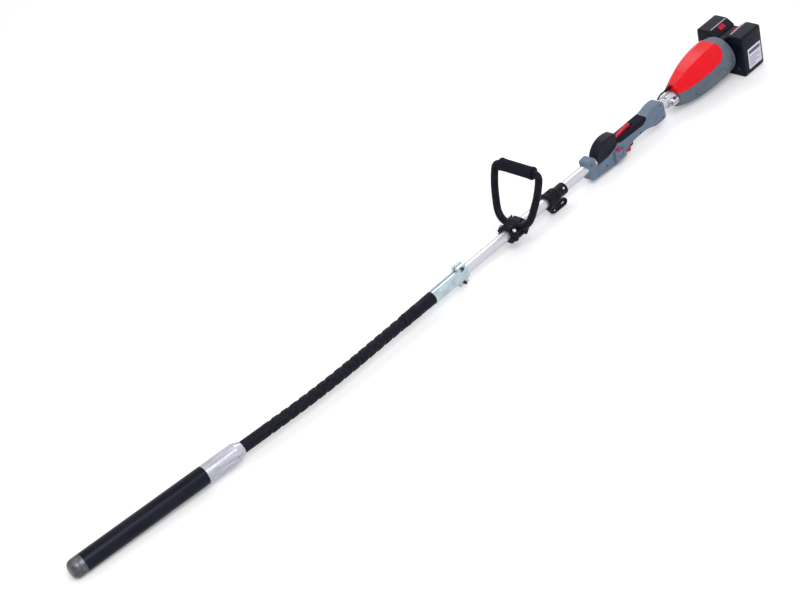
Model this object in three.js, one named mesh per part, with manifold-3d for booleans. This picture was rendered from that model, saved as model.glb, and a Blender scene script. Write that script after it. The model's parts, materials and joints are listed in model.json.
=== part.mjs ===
// A cordless concrete poker vibrator carried on a split pole: a steel poker on a
// wrapped hose, a clamp coupling, an aluminium pole in two lengths with a loop handle
// and a quick-release joint, a trigger handle, and a motor housing with two slide-on
// battery packs. Millimetres, +X from the poker towards the batteries, +Z up.
import * as THREE from "three";
import { mergeVertices } from "three/addons/utils/BufferGeometryUtils.js";
import Module from "manifold-3d";

const wasm = await Module();
wasm.setup();

// ---------------------------------------------------------------- clearances
const SEAT = 0.3; // between two faces that are seated on each other
const FIT = 0.3; // around a piece that sits, slides or turns in a bore or a pocket

// ---------------------------------------------------------------- pose at rest
const POKER_DRIFT = THREE.MathUtils.degToRad(6.5); // sideways set of the hose
const FLEX_ROOM = THREE.MathUtils.degToRad(25); // how far the hose joint may swing

// ---------------------------------------------------------------- poker and hose
const POKER_RADIUS = 22.5;
const POKER_WALL = 2.5;
const CAP_LENGTH = 32.5;
const CAP_DOME = 15;
const SPIGOT_LENGTH = 14;
const POKER_TUBE_LENGTH = 326;
const COLLAR_LENGTH = 105;
const COLLAR_TAPER = 18;
const COLLAR_BORE = 9;
const WRENCH_FLAT_DEPTH = 0.9;
const WRENCH_FLAT_LENGTH = 70;
const HOSE_RADIUS = 13.1; // bare hose, inside the coupling
const WRAP_RADIUS = HOSE_RADIUS + 1.9; // over the wrapping
const STUB_RADIUS = HOSE_RADIUS + 1.4; // smooth rubber beside the collar
const STUB_LENGTH = 71;
const HOSE_BORE = 6.5;
const HOSE_SOCKET = 30; // how deep the hose sits in the collar
const LOWER_HOSE_LENGTH = 237; // collar to the middle of the bend
const UPPER_HOSE_LENGTH = 268; // middle of the bend to the sleeve
const CORE_RADIUS = 5.5; // flexible drive core
const CORE_END_GAP = 3; // lower core end to the middle of the bend
const JOURNAL_RADIUS = 8;
const WEIGHT_RADIUS = 16;
const WEIGHT_LENGTH = 200;
const BEARING_WIDTH = 14;
const SEAL_WIDTH = 8;

// ---------------------------------------------------------------- coupling
const SLEEVE_LENGTH = 105;
const SLEEVE_RADIUS = HOSE_RADIUS + 2.9;
const COUPLING_LENGTH = 117;
const COUPLING_WALL = 3.7;
const CLAMP_LENGTH = 37; // the flared, bolted end
const CLAMP_WALL = 5.2;
const CLAMP_EAR_REACH = 12.7; // out of the bore
const CLAMP_EAR_THICKNESS = 10;
const CLAMP_EAR_LENGTH = 30;
const CLAMP_GAP = 3;
const CLAMP_SCREW_INSET = 5.8; // screw axis to the top of the ear
const CLAMP_SCREW_RADIUS = 2.5;
const CLAMP_HEAD_RADIUS = 4.2;
const HOSE_IN_COUPLING = 30;

// ---------------------------------------------------------------- pole
const POLE_RADIUS = 13;
const POLE_BORE = 11.5;
const POLE_IN_COUPLING = 67;
const FRONT_POLE_BARE = 307; // coupling to quick-release joint
const POLE_IN_JOINT = 39;
const SHAFT_RADIUS = 4;
const SHAFT_SOCKET_RADIUS = 6.5;
const SHAFT_SQUARE = 6;
const SHAFT_MESH = 20; // length of the square drive in its socket
const BUSH_WIDTH = 18;

// ---------------------------------------------------------------- quick-release joint
const JOINT_BARREL_LENGTH = 46;
const JOINT_BARREL_WALL = 6.7;
const JOINT_RIM_WALL = 8.7;
const JOINT_RIM_WIDTH = 8;
const JOINT_COLLAR_LENGTH = 27;
const JOINT_COLLAR_WALL = 2.7;
const LEVER_STATION = 20; // joint's front to the lever's pin
const LEVER_LENGTH = 63;
const LEVER_HEIGHT = 20;
const LEVER_THICKNESS = 9;
const LEVER_CLEARANCE = 13; // pole to the lever's upper edge
const LEVER_PIN_RADIUS = 2.5;
const BUTTON_PIN_RADIUS = 3;
const BUTTON_INSET = 13; // locking pin to the collar's end

// ---------------------------------------------------------------- loop handle
const LOOP_STATION = 157; // coupling to the loop's clamp
const LOOP_CLAMP_LENGTH = 55;
const LOOP_CLAMP_SIDE = 14; // pole to the clamp's side face
const LOOP_CLAMP_COVER = 8; // pole to the clamp's top face
const LOOP_LINER = 1.5;
const LOOP_LEAN = THREE.MathUtils.degToRad(21);
const LOOP_TUBE_RADIUS = 9;
const LOOP_HALF_WIDTH = 69;
const LOOP_HEIGHT = 154;
const LOOP_GRIP_RADIUS = 16;
const LOOP_CORNER = 17;
const LOOP_GRIP_HALF_LENGTH = 51;
const LOOP_BOLT_CLEARANCE = 8; // pole to a bolt's axis
const LOOP_BOLT_RADIUS = 2.5;

// ---------------------------------------------------------------- trigger handle
const HANDLE_STATION = 84; // quick-release joint to handle
const HANDLE_LENGTH = 321;
const HANDLE_WALL = 3.7; // beside the pole
const HANDLE_BEVEL = 4;
const DOME_INSET = 2; // each side of the dome to the handle's side
const GRIP_LINE = 8; // height of the soft grip's lower edge
const TRIGGER_HALF_WIDTH = 7;
const TRIGGER_PIN_RADIUS = 2;
const LOCK_HALF_WIDTH = 5;
const SWITCH_BOX_DEPTH = 8; // how far the switch box stands out of the side
const SWITCH_TRAVEL = 8;

// ---------------------------------------------------------------- motor housing
const CLAMP_STATION = 20; // handle to tube clamp
const TUBE_CLAMP_LENGTH = 30;
const TUBE_CLAMP_WALL = 4.2;
const TUBE_CLAMP_EAR = 13; // out of the pole's side
const TUBE_BOLT_RADIUS = 2.3;
const MOTOR_STATION = 54; // handle to motor housing
const MOTOR_LENGTH = 208;
const MOTOR_WALL = 3;
const POLE_IN_MOTOR = 26;
const COVER_PROUD = 1.5;
const STATOR_RADIUS = 30;
const STATOR_LENGTH = 66;
const ROTOR_RADIUS = 19.5;
const FAN_RADIUS = 28;
const MOTOR_BEARING_RADIUS = 11;
const CABLE_RADIUS = 2;

// ---------------------------------------------------------------- batteries
const ADAPTER_PLATE = 11;
const ADAPTER_RADIUS = 44;
const ADAPTER_HALF_WIDTH = 9;
const PACK_LENGTH = 83; // along X
const PACK_OUTSIDE = 72.5; // middle plane to the pack's outer face
const PACK_BOTTOM = 53; // pole axis to the pack's base
const PACK_TOP = 64;
const PACK_EDGE = 7;
const RAIL_DEPTH = 5;
const RELEASE_LENGTH = 22;
const RELEASE_WIDTH = 13;
const RELEASE_PROUD = 2.5;

// ---------------------------------------------------------------- sizes round the pole
const poleFit = POLE_RADIUS + FIT; // the bore of whatever sits on the pole
const couplingBore = Math.max(poleFit, HOSE_RADIUS + FIT); // it holds hose and pole
const couplingRadius = couplingBore + COUPLING_WALL;
const clampRadius = couplingBore + CLAMP_WALL;
const clampEarHeight = couplingBore + CLAMP_EAR_REACH;
const barrelRadius = poleFit + JOINT_BARREL_WALL;
const rimRadius = poleFit + JOINT_RIM_WALL;
const jointCollarRadius = poleFit + JOINT_COLLAR_WALL;
const leverDrop = POLE_RADIUS + LEVER_CLEARANCE;
const tubeClampRadius = poleFit + TUBE_CLAMP_WALL;
const tubeClampEar = POLE_RADIUS + TUBE_CLAMP_EAR;
const loopClampHalf = POLE_RADIUS + LOOP_CLAMP_SIDE;
const loopClampTop = POLE_RADIUS + LOOP_CLAMP_COVER;
const loopBoltSpread = POLE_RADIUS + LOOP_BOLT_CLEARANCE;
const handleHalf = poleFit + HANDLE_WALL;
const domeHalf = handleHalf - DOME_INSET;
const underPole = -POLE_RADIUS - 1.6; // roof of the switch room under the pole

// ---------------------------------------------------------------- stations on the axis
// The head's own axis starts at the middle of the bend and runs to -X.
const collarRear = -LOWER_HOSE_LENGTH;
const collarFront = collarRear - COLLAR_LENGTH;
const tubeFront = collarFront - POKER_TUBE_LENGTH;
const tipX = tubeFront - CAP_LENGTH;
// The tool's axis starts at the same point and runs to +X.
const couplingFront = UPPER_HOSE_LENGTH + SLEEVE_LENGTH;
const couplingRear = couplingFront + COUPLING_LENGTH;
const clampFront = couplingRear - CLAMP_LENGTH;
const poleFront = couplingRear - POLE_IN_COUPLING;
const jointFront = couplingRear + FRONT_POLE_BARE;
const jointRear = jointFront + JOINT_BARREL_LENGTH + JOINT_COLLAR_LENGTH;
const poleSplit = jointFront + POLE_IN_JOINT;
const loopFront = couplingRear + LOOP_STATION;
const handleFront = jointRear + HANDLE_STATION;
const handleRear = handleFront + HANDLE_LENGTH;
const tubeClampFront = handleRear + CLAMP_STATION;
const motorFront = handleRear + MOTOR_STATION;
const motorRear = motorFront + MOTOR_LENGTH;
const packFront = motorRear + SEAT + ADAPTER_PLATE + SEAT;
const packRear = packFront + PACK_LENGTH;
// The tool lies on its packs and on the clamp lever, which sets the slope of the pole
// and the height of the bend; from there the poker's nose droops to the same floor.
const leverPinX = jointFront + LEVER_STATION;
const leverBottom = leverDrop + LEVER_HEIGHT;
const toolTilt = Math.atan2(PACK_BOTTOM - leverBottom, packFront - leverPinX);
const bendHeight = leverBottom * Math.cos(toolTilt) - leverPinX * Math.sin(toolTilt);
const pokerDroop = Math.asin((bendHeight - POKER_RADIUS) / -(tipX + CAP_DOME));

// ---------------------------------------------------------------- shape helpers
function solid(geometry) {
  const bare = geometry.index ? geometry.toNonIndexed() : geometry.clone();
  for (const name of Object.keys(bare.attributes)) {
    if (name !== "position") bare.deleteAttribute(name);
  }
  const merged = mergeVertices(bare, 1e-4);
  const vertProperties = merged.attributes.position.array;
  const triVerts = new Uint32Array(merged.index.array);
  const made = new wasm.Manifold(new wasm.Mesh({ numProp: 3, vertProperties, triVerts }));
  if (made.volume() > 0) return made;
  for (let i = 0; i < triVerts.length; i += 3) {
    [triVerts[i + 1], triVerts[i + 2]] = [triVerts[i + 2], triVerts[i + 1]];
  }
  return new wasm.Manifold(new wasm.Mesh({ numProp: 3, vertProperties, triVerts }));
}

// A piece turned about the X axis; the profile holds [x, radius] pairs.
function turned(profile, sides = 24) {
  const points = profile.map(([x, r]) => new THREE.Vector2(r, x));
  return solid(new THREE.LatheGeometry(points, sides).rotateZ(-Math.PI / 2));
}

function rod(x0, x1, radius, sides = 24) {
  return turned([[x0, 0], [x0, radius], [x1, radius], [x1, 0]], sides);
}

function ring(x0, x1, outer, inner, sides = 24) {
  return turned([[x0, inner], [x0, outer], [x1, outer], [x1, inner], [x0, inner]], sides);
}

function block(x0, x1, y0, y1, z0, z1) {
  const box = new THREE.BoxGeometry(x1 - x0, y1 - y0, z1 - z0);
  return solid(box.translate((x0 + x1) / 2, (y0 + y1) / 2, (z0 + z1) / 2));
}

// A round bar between two points.
function bar(from, to, radius, sides = 16) {
  const a = new THREE.Vector3(...from);
  const b = new THREE.Vector3(...to);
  const along = b.clone().sub(a);
  const turn = new THREE.Quaternion();
  turn.setFromUnitVectors(new THREE.Vector3(0, 1, 0), along.clone().normalize());
  const round = new THREE.CylinderGeometry(radius, radius, along.length(), sides);
  const middle = a.add(b).multiplyScalar(0.5);
  return solid(round.applyQuaternion(turn).translate(middle.x, middle.y, middle.z));
}

function outline(points) {
  return new THREE.Shape(points.map(([a, b]) => new THREE.Vector2(a, b)));
}

function extruded(points, depth, bevel) {
  return new THREE.ExtrudeGeometry(outline(points), {
    depth: depth - 2 * bevel,
    bevelEnabled: bevel > 0,
    bevelThickness: bevel,
    bevelSize: bevel,
    bevelOffset: -bevel,
    bevelSegments: 2,
  }).translate(0, 0, bevel);
}

// A side outline of [x, z] points, as thick as y0 to y1.
function plate(points, y0, y1, bevel = 0) {
  return solid(extruded(points, y1 - y0, bevel).rotateX(Math.PI / 2).translate(0, y1, 0));
}

// An end outline of [y, z] points, as long as x0 to x1.
function prism(points, x0, x1, bevel = 0) {
  const shape = extruded(points, x1 - x0, bevel);
  return solid(shape.rotateY(Math.PI / 2).rotateX(Math.PI / 2).translate(x0, 0, 0));
}

// A closed skin over oval sections; each one is [x, half width, top, bottom].
function oval(sections, grow = 0, sides = 24) {
  const positions = [];
  const at = (section, i) => {
    const [x, halfWidth, top, bottom] = section;
    const angle = (i / sides) * 2 * Math.PI;
    const middle = (top + bottom) / 2;
    const y = (halfWidth + grow) * Math.cos(angle);
    return [x, y, middle + ((top - bottom) / 2 + grow) * Math.sin(angle)];
  };
  const centre = ([x, , top, bottom]) => [x, 0, (top + bottom) / 2];
  const first = sections[0];
  const last = sections[sections.length - 1];
  for (let i = 0; i < sides; i += 1) {
    positions.push(...centre(first), ...at(first, i), ...at(first, i + 1));
    positions.push(...centre(last), ...at(last, i + 1), ...at(last, i));
    for (let k = 0; k + 1 < sections.length; k += 1) {
      const [a, b] = [at(sections[k], i), at(sections[k], i + 1)];
      const [c, d] = [at(sections[k + 1], i), at(sections[k + 1], i + 1)];
      positions.push(...a, ...c, ...b, ...b, ...c, ...d);
    }
  }
  const skin = new THREE.BufferGeometry();
  skin.setAttribute("position", new THREE.Float32BufferAttribute(positions, 3));
  return solid(skin);
}

function swept(path, radius, sides, steps) {
  const circle = new THREE.Shape();
  for (let i = 0; i < sides; i += 1) {
    const angle = (i / sides) * 2 * Math.PI;
    const [x, y] = [radius * Math.cos(angle), radius * Math.sin(angle)];
    if (i === 0) circle.moveTo(x, y);
    else circle.lineTo(x, y);
  }
  return solid(new THREE.ExtrudeGeometry(circle, { steps, extrudePath: path }));
}

function together(...pieces) {
  return pieces.reduce((sum, piece) => sum.add(piece));
}

function without(piece, ...cuts) {
  return cuts.reduce((left, cut) => left.subtract(cut), piece);
}

const FAR = 4000;
const above = (z) => block(-FAR, FAR, -FAR, FAR, z, FAR);
const below = (z) => block(-FAR, FAR, -FAR, FAR, -FAR, z);
const leftOf = (y) => block(-FAR, FAR, y, FAR, -FAR, FAR);
const rightOf = (y) => block(-FAR, FAR, -FAR, y, -FAR, FAR);

// ---------------------------------------------------------------- materials
function finish(color, roughness, metalness = 0) {
  return new THREE.MeshStandardMaterial({ color, roughness, metalness });
}

const blackSteel = finish(0x15171d, 0.35, 0.6);
const capSteel = finish(0x5c5c66, 0.4, 1);
const brightSteel = finish(0xb4b5be, 0.25, 1);
const rubber = finish(0x16171c, 0.6);
const zinc = finish(0xbfd0da, 0.3, 1);
const aluminium = finish(0xdcdce4, 0.35, 1);
const blackPlastic = finish(0x1c1f2b, 0.5);
const softGrip = finish(0x22253a, 0.75);
const greyPlastic = finish(0x65748a, 0.5);
const redPlastic = finish(0xe00a20, 0.3);
const redTrigger = finish(0xc8102e, 0.4);
const darkSteel = finish(0x3a3c42, 0.5, 0.9);
const copper = finish(0xa8602f, 0.45, 0.8);
const packPlastic = finish(0x14151f, 0.5);

// ---------------------------------------------------------------- the assembly
const assembly = new THREE.Group();
const head = new THREE.Group();
head.name = "head";
head.rotation.set(0, -pokerDroop, -POKER_DRIFT, "ZYX");
const tool = new THREE.Group();
tool.name = "tool";
tool.rotation.y = -toolTilt;
assembly.add(head, tool);

function place(group, name, made, material) {
  const { numProp, vertProperties, triVerts } = made.getMesh();
  const positions = new Float32Array((vertProperties.length / numProp) * 3);
  for (let i = 0; i < positions.length / 3; i += 1) {
    positions.set(vertProperties.subarray(i * numProp, i * numProp + 3), i * 3);
  }
  const geometry = new THREE.BufferGeometry();
  geometry.setAttribute("position", new THREE.BufferAttribute(positions, 3));
  geometry.setIndex(new THREE.BufferAttribute(new Uint32Array(triVerts), 1));
  geometry.computeVertexNormals();
  const mesh = new THREE.Mesh(geometry, material);
  mesh.name = name;
  group.add(mesh);
}

// ================================================================ poker head
const tubeBore = POKER_RADIUS - POKER_WALL;
const spigotRadius = tubeBore - FIT;

function pokerCap() {
  const arc = [];
  for (let i = 1; i <= 5; i += 1) {
    const angle = (i / 5) * (Math.PI / 2);
    arc.push([tipX + CAP_DOME * (1 - Math.cos(angle)), 10 + (POKER_RADIUS - 10) * Math.sin(angle)]);
  }
  const spigotEnd = tubeFront + SPIGOT_LENGTH;
  return turned([
    [tipX, 0],
    [tipX, 10],
    ...arc,
    [tubeFront - SEAT, POKER_RADIUS],
    [tubeFront - SEAT, spigotRadius],
    [spigotEnd, spigotRadius],
    [spigotEnd, 0],
  ], 32);
}

function pokerCollar() {
  const taperStart = collarRear - COLLAR_TAPER;
  const spigotEnd = collarFront - SPIGOT_LENGTH;
  const socket = STUB_RADIUS + FIT;
  const socketEnd = collarRear - HOSE_SOCKET;
  const body = turned([
    [spigotEnd, COLLAR_BORE],
    [spigotEnd, spigotRadius],
    [collarFront + SEAT, spigotRadius],
    [collarFront + SEAT, POKER_RADIUS],
    [taperStart, POKER_RADIUS],
    [collarRear, STUB_RADIUS + 1.5],
    [collarRear, socket],
    [socketEnd, socket],
    [socketEnd, COLLAR_BORE],
    [spigotEnd, COLLAR_BORE],
  ], 32);
  const flat = POKER_RADIUS - WRENCH_FLAT_DEPTH;
  const flatStart = collarFront + 12;
  const flatEnd = flatStart + WRENCH_FLAT_LENGTH;
  return without(
    body,
    block(flatStart, flatEnd, flat, POKER_RADIUS + 5, -POKER_RADIUS, POKER_RADIUS),
    block(flatStart, flatEnd, -POKER_RADIUS - 5, -flat, -POKER_RADIUS, POKER_RADIUS),
  );
}

// The two hose lengths meet in a ball and cup, so the hose can swing at its bend.
const ballRim = THREE.MathUtils.degToRad(60);
const cupRim = Math.PI / 2 - FLEX_ROOM - THREE.MathUtils.degToRad(3);
const cupRadius = HOSE_RADIUS + FIT; // the wrapping ends where the ball begins
const ballEnd = HOSE_RADIUS * Math.cos(ballRim);
const upperCoreStart = Math.hypot(ballEnd, HOSE_BORE) + FIT; // clear of the swinging ball

function lowerHose() {
  const hoseEnd = collarRear - HOSE_SOCKET + SEAT;
  const stubEnd = collarRear + STUB_LENGTH;
  const ball = [];
  for (let i = 0; i <= 3; i += 1) {
    const angle = Math.PI / 2 - (i / 3) * (Math.PI / 2 - ballRim);
    ball.push([HOSE_RADIUS * Math.cos(angle), HOSE_RADIUS * Math.sin(angle)]);
  }
  return turned([
    [hoseEnd, HOSE_BORE],
    [hoseEnd, STUB_RADIUS],
    [stubEnd, STUB_RADIUS],
    [stubEnd, WRAP_RADIUS],
    [-WRAP_RADIUS, WRAP_RADIUS],
    [-WRAP_RADIUS, HOSE_RADIUS],
    ...ball,
    [ballEnd, HOSE_BORE],
    [hoseEnd, HOSE_BORE],
  ], 20);
}

const coreSeat = collarFront - SPIGOT_LENGTH - 12; // rear end of the eccentric's socket

const bearingFront = tubeFront + SPIGOT_LENGTH + 10;
const bearingRear = coreSeat - 26 - BEARING_WIDTH;

function eccentricRotor() {
  const front = tubeFront + SPIGOT_LENGTH + 6;
  const weightMiddle = (bearingFront + BEARING_WIDTH + bearingRear) / 2;
  const shaft = rod(front, coreSeat, JOURNAL_RADIUS, 20);
  const halfRound = [];
  for (let i = 0; i <= 12; i += 1) {
    const angle = Math.PI + (i / 12) * Math.PI;
    halfRound.push([WEIGHT_RADIUS * Math.cos(angle), WEIGHT_RADIUS * Math.sin(angle)]);
  }
  const half = WEIGHT_LENGTH / 2;
  const weight = prism(halfRound, weightMiddle - half, weightMiddle + half);
  const socket = rod(coreSeat - 20, coreSeat + 1, CORE_RADIUS + FIT, 16);
  return without(together(shaft, weight), socket);
}

const bearingRing = (x) => ring(x, x + BEARING_WIDTH, spigotRadius, JOURNAL_RADIUS + FIT);

place(head, "poker_end_cap", pokerCap(), capSteel);
place(
  head,
  "poker_tube",
  ring(tubeFront, collarFront, POKER_RADIUS, tubeBore, 32),
  blackSteel,
);
place(head, "poker_collar", pokerCollar(), brightSteel);
place(head, "front_bearing", bearingRing(bearingFront), darkSteel);
place(head, "rear_bearing", bearingRing(bearingRear), darkSteel);
place(head, "eccentric_rotor", eccentricRotor(), darkSteel);
place(
  head,
  "shaft_seal",
  ring(
    collarRear - HOSE_SOCKET - SEAL_WIDTH - 6,
    collarRear - HOSE_SOCKET - 6,
    COLLAR_BORE - FIT,
    CORE_RADIUS + FIT,
  ),
  rubber,
);
place(head, "lower_hose", lowerHose(), rubber);
place(head, "lower_drive_core", rod(coreSeat - 20 + SEAT, -CORE_END_GAP, CORE_RADIUS, 12), darkSteel);

// ================================================================ upper hose, coupling
const hoseEnd = couplingFront + HOSE_IN_COUPLING;

function upperHose() {
  const cup = [];
  const innerRim = Math.asin(HOSE_BORE / cupRadius);
  for (let i = 0; i <= 4; i += 1) {
    const angle = innerRim + (i / 4) * (cupRim - innerRim);
    cup.push([cupRadius * Math.cos(angle), cupRadius * Math.sin(angle)]);
  }
  const rimX = cupRadius * Math.cos(cupRim);
  return turned([
    [hoseEnd, HOSE_BORE],
    ...cup,
    [rimX, HOSE_RADIUS],
    [rimX + HOSE_RADIUS / 2, WRAP_RADIUS],
    [UPPER_HOSE_LENGTH, WRAP_RADIUS],
    [UPPER_HOSE_LENGTH, HOSE_RADIUS],
    [hoseEnd, HOSE_RADIUS],
    [hoseEnd, HOSE_BORE],
  ], 20);
}

function hoseSleeve() {
  const start = UPPER_HOSE_LENGTH + SEAT;
  const end = couplingFront - SEAT;
  const bore = HOSE_RADIUS + FIT;
  return turned([
    [start, bore],
    [start, SLEEVE_RADIUS - 1],
    [start + 10, SLEEVE_RADIUS - 0.4],
    [end - 6, SLEEVE_RADIUS],
    [end, SLEEVE_RADIUS - 0.6],
    [end, bore],
    [start, bore],
  ], 24);
}

// One body, sawn in two along its length, with a bolted pair of ears above and below.
const earFront = couplingRear - CLAMP_EAR_LENGTH;
const clampScrewX = (earFront + couplingRear) / 2;
const clampScrewZ = clampEarHeight - CLAMP_SCREW_INSET;

function coupling() {
  const body = turned([
    [couplingFront, 0],
    [couplingFront, couplingRadius],
    [clampFront, couplingRadius],
    [clampFront + 12, clampRadius],
    [couplingRear, clampRadius],
    [couplingRear, 0],
  ], 28);
  const ears = prism([
    [-CLAMP_EAR_THICKNESS, -clampEarHeight],
    [CLAMP_EAR_THICKNESS, -clampEarHeight],
    [CLAMP_EAR_THICKNESS, clampEarHeight],
    [-CLAMP_EAR_THICKNESS, clampEarHeight],
  ], earFront, couplingRear, 2);
  const hoseRoom = rod(couplingFront - 1, poleFront, HOSE_RADIUS + FIT, 28);
  const poleBore = rod(hoseEnd + 1, couplingRear + 1, poleFit, 28);
  const holes = [1, -1].map((side) => {
    const z = side * clampScrewZ;
    return bar([clampScrewX, -20, z], [clampScrewX, 20, z], CLAMP_SCREW_RADIUS + FIT, 12);
  });
  return without(together(body, ears), hoseRoom, poleBore, ...holes);
}

const couplingBody = coupling();
const halfGap = CLAMP_GAP / 2;

function clampScrew(side) {
  const z = side * clampScrewZ;
  const seat = CLAMP_EAR_THICKNESS + SEAT;
  const between = (from, to, radius, sides) =>
    bar([clampScrewX, from, z], [clampScrewX, to, z], radius, sides);
  return together(
    between(-seat - 2, seat + 2, CLAMP_SCREW_RADIUS, 12),
    between(-seat - 5, -seat, CLAMP_HEAD_RADIUS, 16),
    between(seat, seat + 4, CLAMP_HEAD_RADIUS, 6),
  );
}

place(tool, "upper_hose", upperHose(), rubber);
place(tool, "hose_sleeve", hoseSleeve(), rubber);
place(tool, "coupling_left_half", couplingBody.intersect(leftOf(halfGap)), zinc);
place(tool, "coupling_right_half", couplingBody.intersect(rightOf(-halfGap)), zinc);
place(tool, "coupling_screw_top", clampScrew(1), darkSteel);
place(tool, "coupling_screw_bottom", clampScrew(-1), darkSteel);

// ================================================================ pole and drive line
const coreRear = hoseEnd - 2;
const squareEnd = poleSplit - 4;
const squareStart = squareEnd - SHAFT_MESH;

function frontShaft() {
  const socketStart = squareStart - 10;
  const half = SHAFT_SQUARE / 2 + FIT;
  const body = together(
    rod(coreRear + SEAT, socketStart + 2, SHAFT_RADIUS, 12),
    rod(socketStart, squareEnd, SHAFT_SOCKET_RADIUS, 16),
  );
  return without(body, block(squareStart - 3, squareEnd + 1, -half, half, -half, half));
}

const shaftRear = motorFront + 46;

function rearShaft() {
  const half = SHAFT_SQUARE / 2;
  return together(
    block(squareStart, squareEnd + 4, -half, half, -half, half),
    rod(squareEnd + 2, shaftRear, SHAFT_RADIUS, 12),
  );
}

function shaftBush(x) {
  return ring(x, x + BUSH_WIDTH, POLE_BORE - FIT, SHAFT_RADIUS + FIT, 20);
}

place(tool, "upper_drive_core", rod(upperCoreStart, coreRear, CORE_RADIUS, 12), darkSteel);
place(tool, "front_drive_shaft", frontShaft(), brightSteel);
place(tool, "front_pole", ring(poleFront, poleSplit - SEAT, POLE_RADIUS, POLE_BORE), aluminium);
place(
  tool,
  "rear_pole",
  ring(poleSplit + SEAT, motorFront + POLE_IN_MOTOR, POLE_RADIUS, POLE_BORE),
  aluminium,
);
place(tool, "rear_drive_shaft", rearShaft(), brightSteel);
place(tool, "front_shaft_bush", shaftBush(poleFront + FRONT_POLE_BARE / 2), rubber);
place(tool, "rear_shaft_bush", shaftBush(handleFront + HANDLE_LENGTH / 2), rubber);

// ================================================================ quick-release joint
const barrelRear = jointFront + JOINT_BARREL_LENGTH;
const leverPinZ = -leverDrop - 6;

// A point on the locking pin's own axis, at a distance from the pole's axis.
const buttonAxis = new THREE.Vector3(0, -30, 24).normalize();
const onButton = (r) => [jointRear - BUTTON_INSET, buttonAxis.y * r, buttonAxis.z * r];

function poleJoint() {
  const bore = poleFit;
  const body = turned([
    [jointFront, bore],
    [jointFront, rimRadius],
    [jointFront + JOINT_RIM_WIDTH, rimRadius],
    [jointFront + JOINT_RIM_WIDTH, barrelRadius],
    [barrelRear - 8, barrelRadius],
    [barrelRear, jointCollarRadius],
    [jointRear, jointCollarRadius],
    [jointRear, bore],
    [jointFront, bore],
  ], 28);
  const cheek = LEVER_THICKNESS / 2 + FIT;
  const lug = plate([
    [leverPinX - 14, -12],
    [leverPinX + 10, -12],
    [leverPinX + 7, leverPinZ - 4],
    [leverPinX + 3, leverPinZ - 7],
    [leverPinX - 5, leverPinZ - 7],
    [leverPinX - 14, -22],
  ], -cheek - 4, cheek + 4);
  const slot = block(leverPinX - 30, leverPinX + 30, -cheek, cheek, leverPinZ - 20, -21);
  const pinHole = bar(
    [leverPinX, -20, leverPinZ],
    [leverPinX, 20, leverPinZ],
    LEVER_PIN_RADIUS + 0.1,
  );
  const buttonHole = bar(onButton(0), onButton(40), BUTTON_PIN_RADIUS + FIT);
  const hollow = rod(jointFront - 1, jointRear + 1, bore, 28);
  return without(together(body, lug), hollow, slot, pinHole, buttonHole);
}

function clampLever() {
  const half = LEVER_HEIGHT / 2;
  const middle = -leverDrop - half;
  const start = leverPinX - 8;
  const end = start + LEVER_LENGTH;
  const round = [];
  for (let i = 0; i <= 8; i += 1) {
    const angle = -Math.PI / 2 + (i / 8) * Math.PI;
    round.push([end - half + half * Math.cos(angle), middle + half * Math.sin(angle)]);
  }
  const body = plate([
    [start + 4, middle + half - 2],
    [start, middle + 4],
    [start + 2, middle - 4],
    [start + 14, middle - half],
    ...round,
  ], -LEVER_THICKNESS / 2, LEVER_THICKNESS / 2);
  const window = block(end - 22, end - 6, -20, 20, middle - 3.5, middle + 4);
  const pinHole = bar(
    [leverPinX, -20, leverPinZ],
    [leverPinX, 20, leverPinZ],
    LEVER_PIN_RADIUS + 0.1,
  );
  return without(body, window, pinHole);
}

function leverPin() {
  const reach = LEVER_THICKNESS / 2 + FIT + 4;
  return bar([leverPinX, -reach, leverPinZ], [leverPinX, reach, leverPinZ], LEVER_PIN_RADIUS);
}

// A sprung pin in the joint's collar that locks the pole; its head stands 1.5 proud.
function lockingPin() {
  return bar(onButton(POLE_RADIUS + 2.2), onButton(jointCollarRadius + 1.5), BUTTON_PIN_RADIUS);
}

place(tool, "pole_joint", poleJoint(), blackPlastic);
place(tool, "clamp_lever", clampLever(), blackPlastic);
place(tool, "lever_pin", leverPin(), brightSteel);
place(tool, "locking_pin", lockingPin(), brightSteel);

// ================================================================ loop handle
const linerRadius = poleFit + LOOP_LINER;
const loopBore = linerRadius + FIT;
const loopRoot = loopFront + 26; // where the leaning plane meets the pole axis

// A point of the leaning loop: across, and up the lean.
function onLoop(y, up) {
  return new THREE.Vector3(
    loopRoot + up * Math.sin(LOOP_LEAN),
    y,
    up * Math.cos(LOOP_LEAN),
  );
}

function loopHalf(side) {
  const wide = LOOP_HALF_WIDTH;
  const high = LOOP_HEIGHT;
  const path = new THREE.CurvePath();
  const at = (y, up) => onLoop(side * y, up);
  const bend = high - LOOP_CORNER;
  path.add(new THREE.CubicBezierCurve3(
    at(-2, 13),
    at(wide * 0.42, 12),
    at(wide * 0.7, 20),
    at(wide * 0.82, 52),
  ));
  path.add(new THREE.CubicBezierCurve3(
    at(wide * 0.82, 52),
    at(wide * 0.9, 76),
    at(wide, 96),
    at(wide, bend),
  ));
  const flat = wide - LOOP_CORNER;
  path.add(new THREE.QuadraticBezierCurve3(at(wide, bend), at(wide, high), at(flat, high)));
  path.add(new THREE.LineCurve3(at(flat, high), at(-2, high)));
  return swept(path, LOOP_TUBE_RADIUS, 10, 20);
}

const boltPlaces = [
  [loopFront + 10, loopBoltSpread],
  [loopFront + 10, -loopBoltSpread],
  [loopFront + LOOP_CLAMP_LENGTH - 9, loopBoltSpread],
  [loopFront + LOOP_CLAMP_LENGTH - 9, -loopBoltSpread],
];

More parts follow.
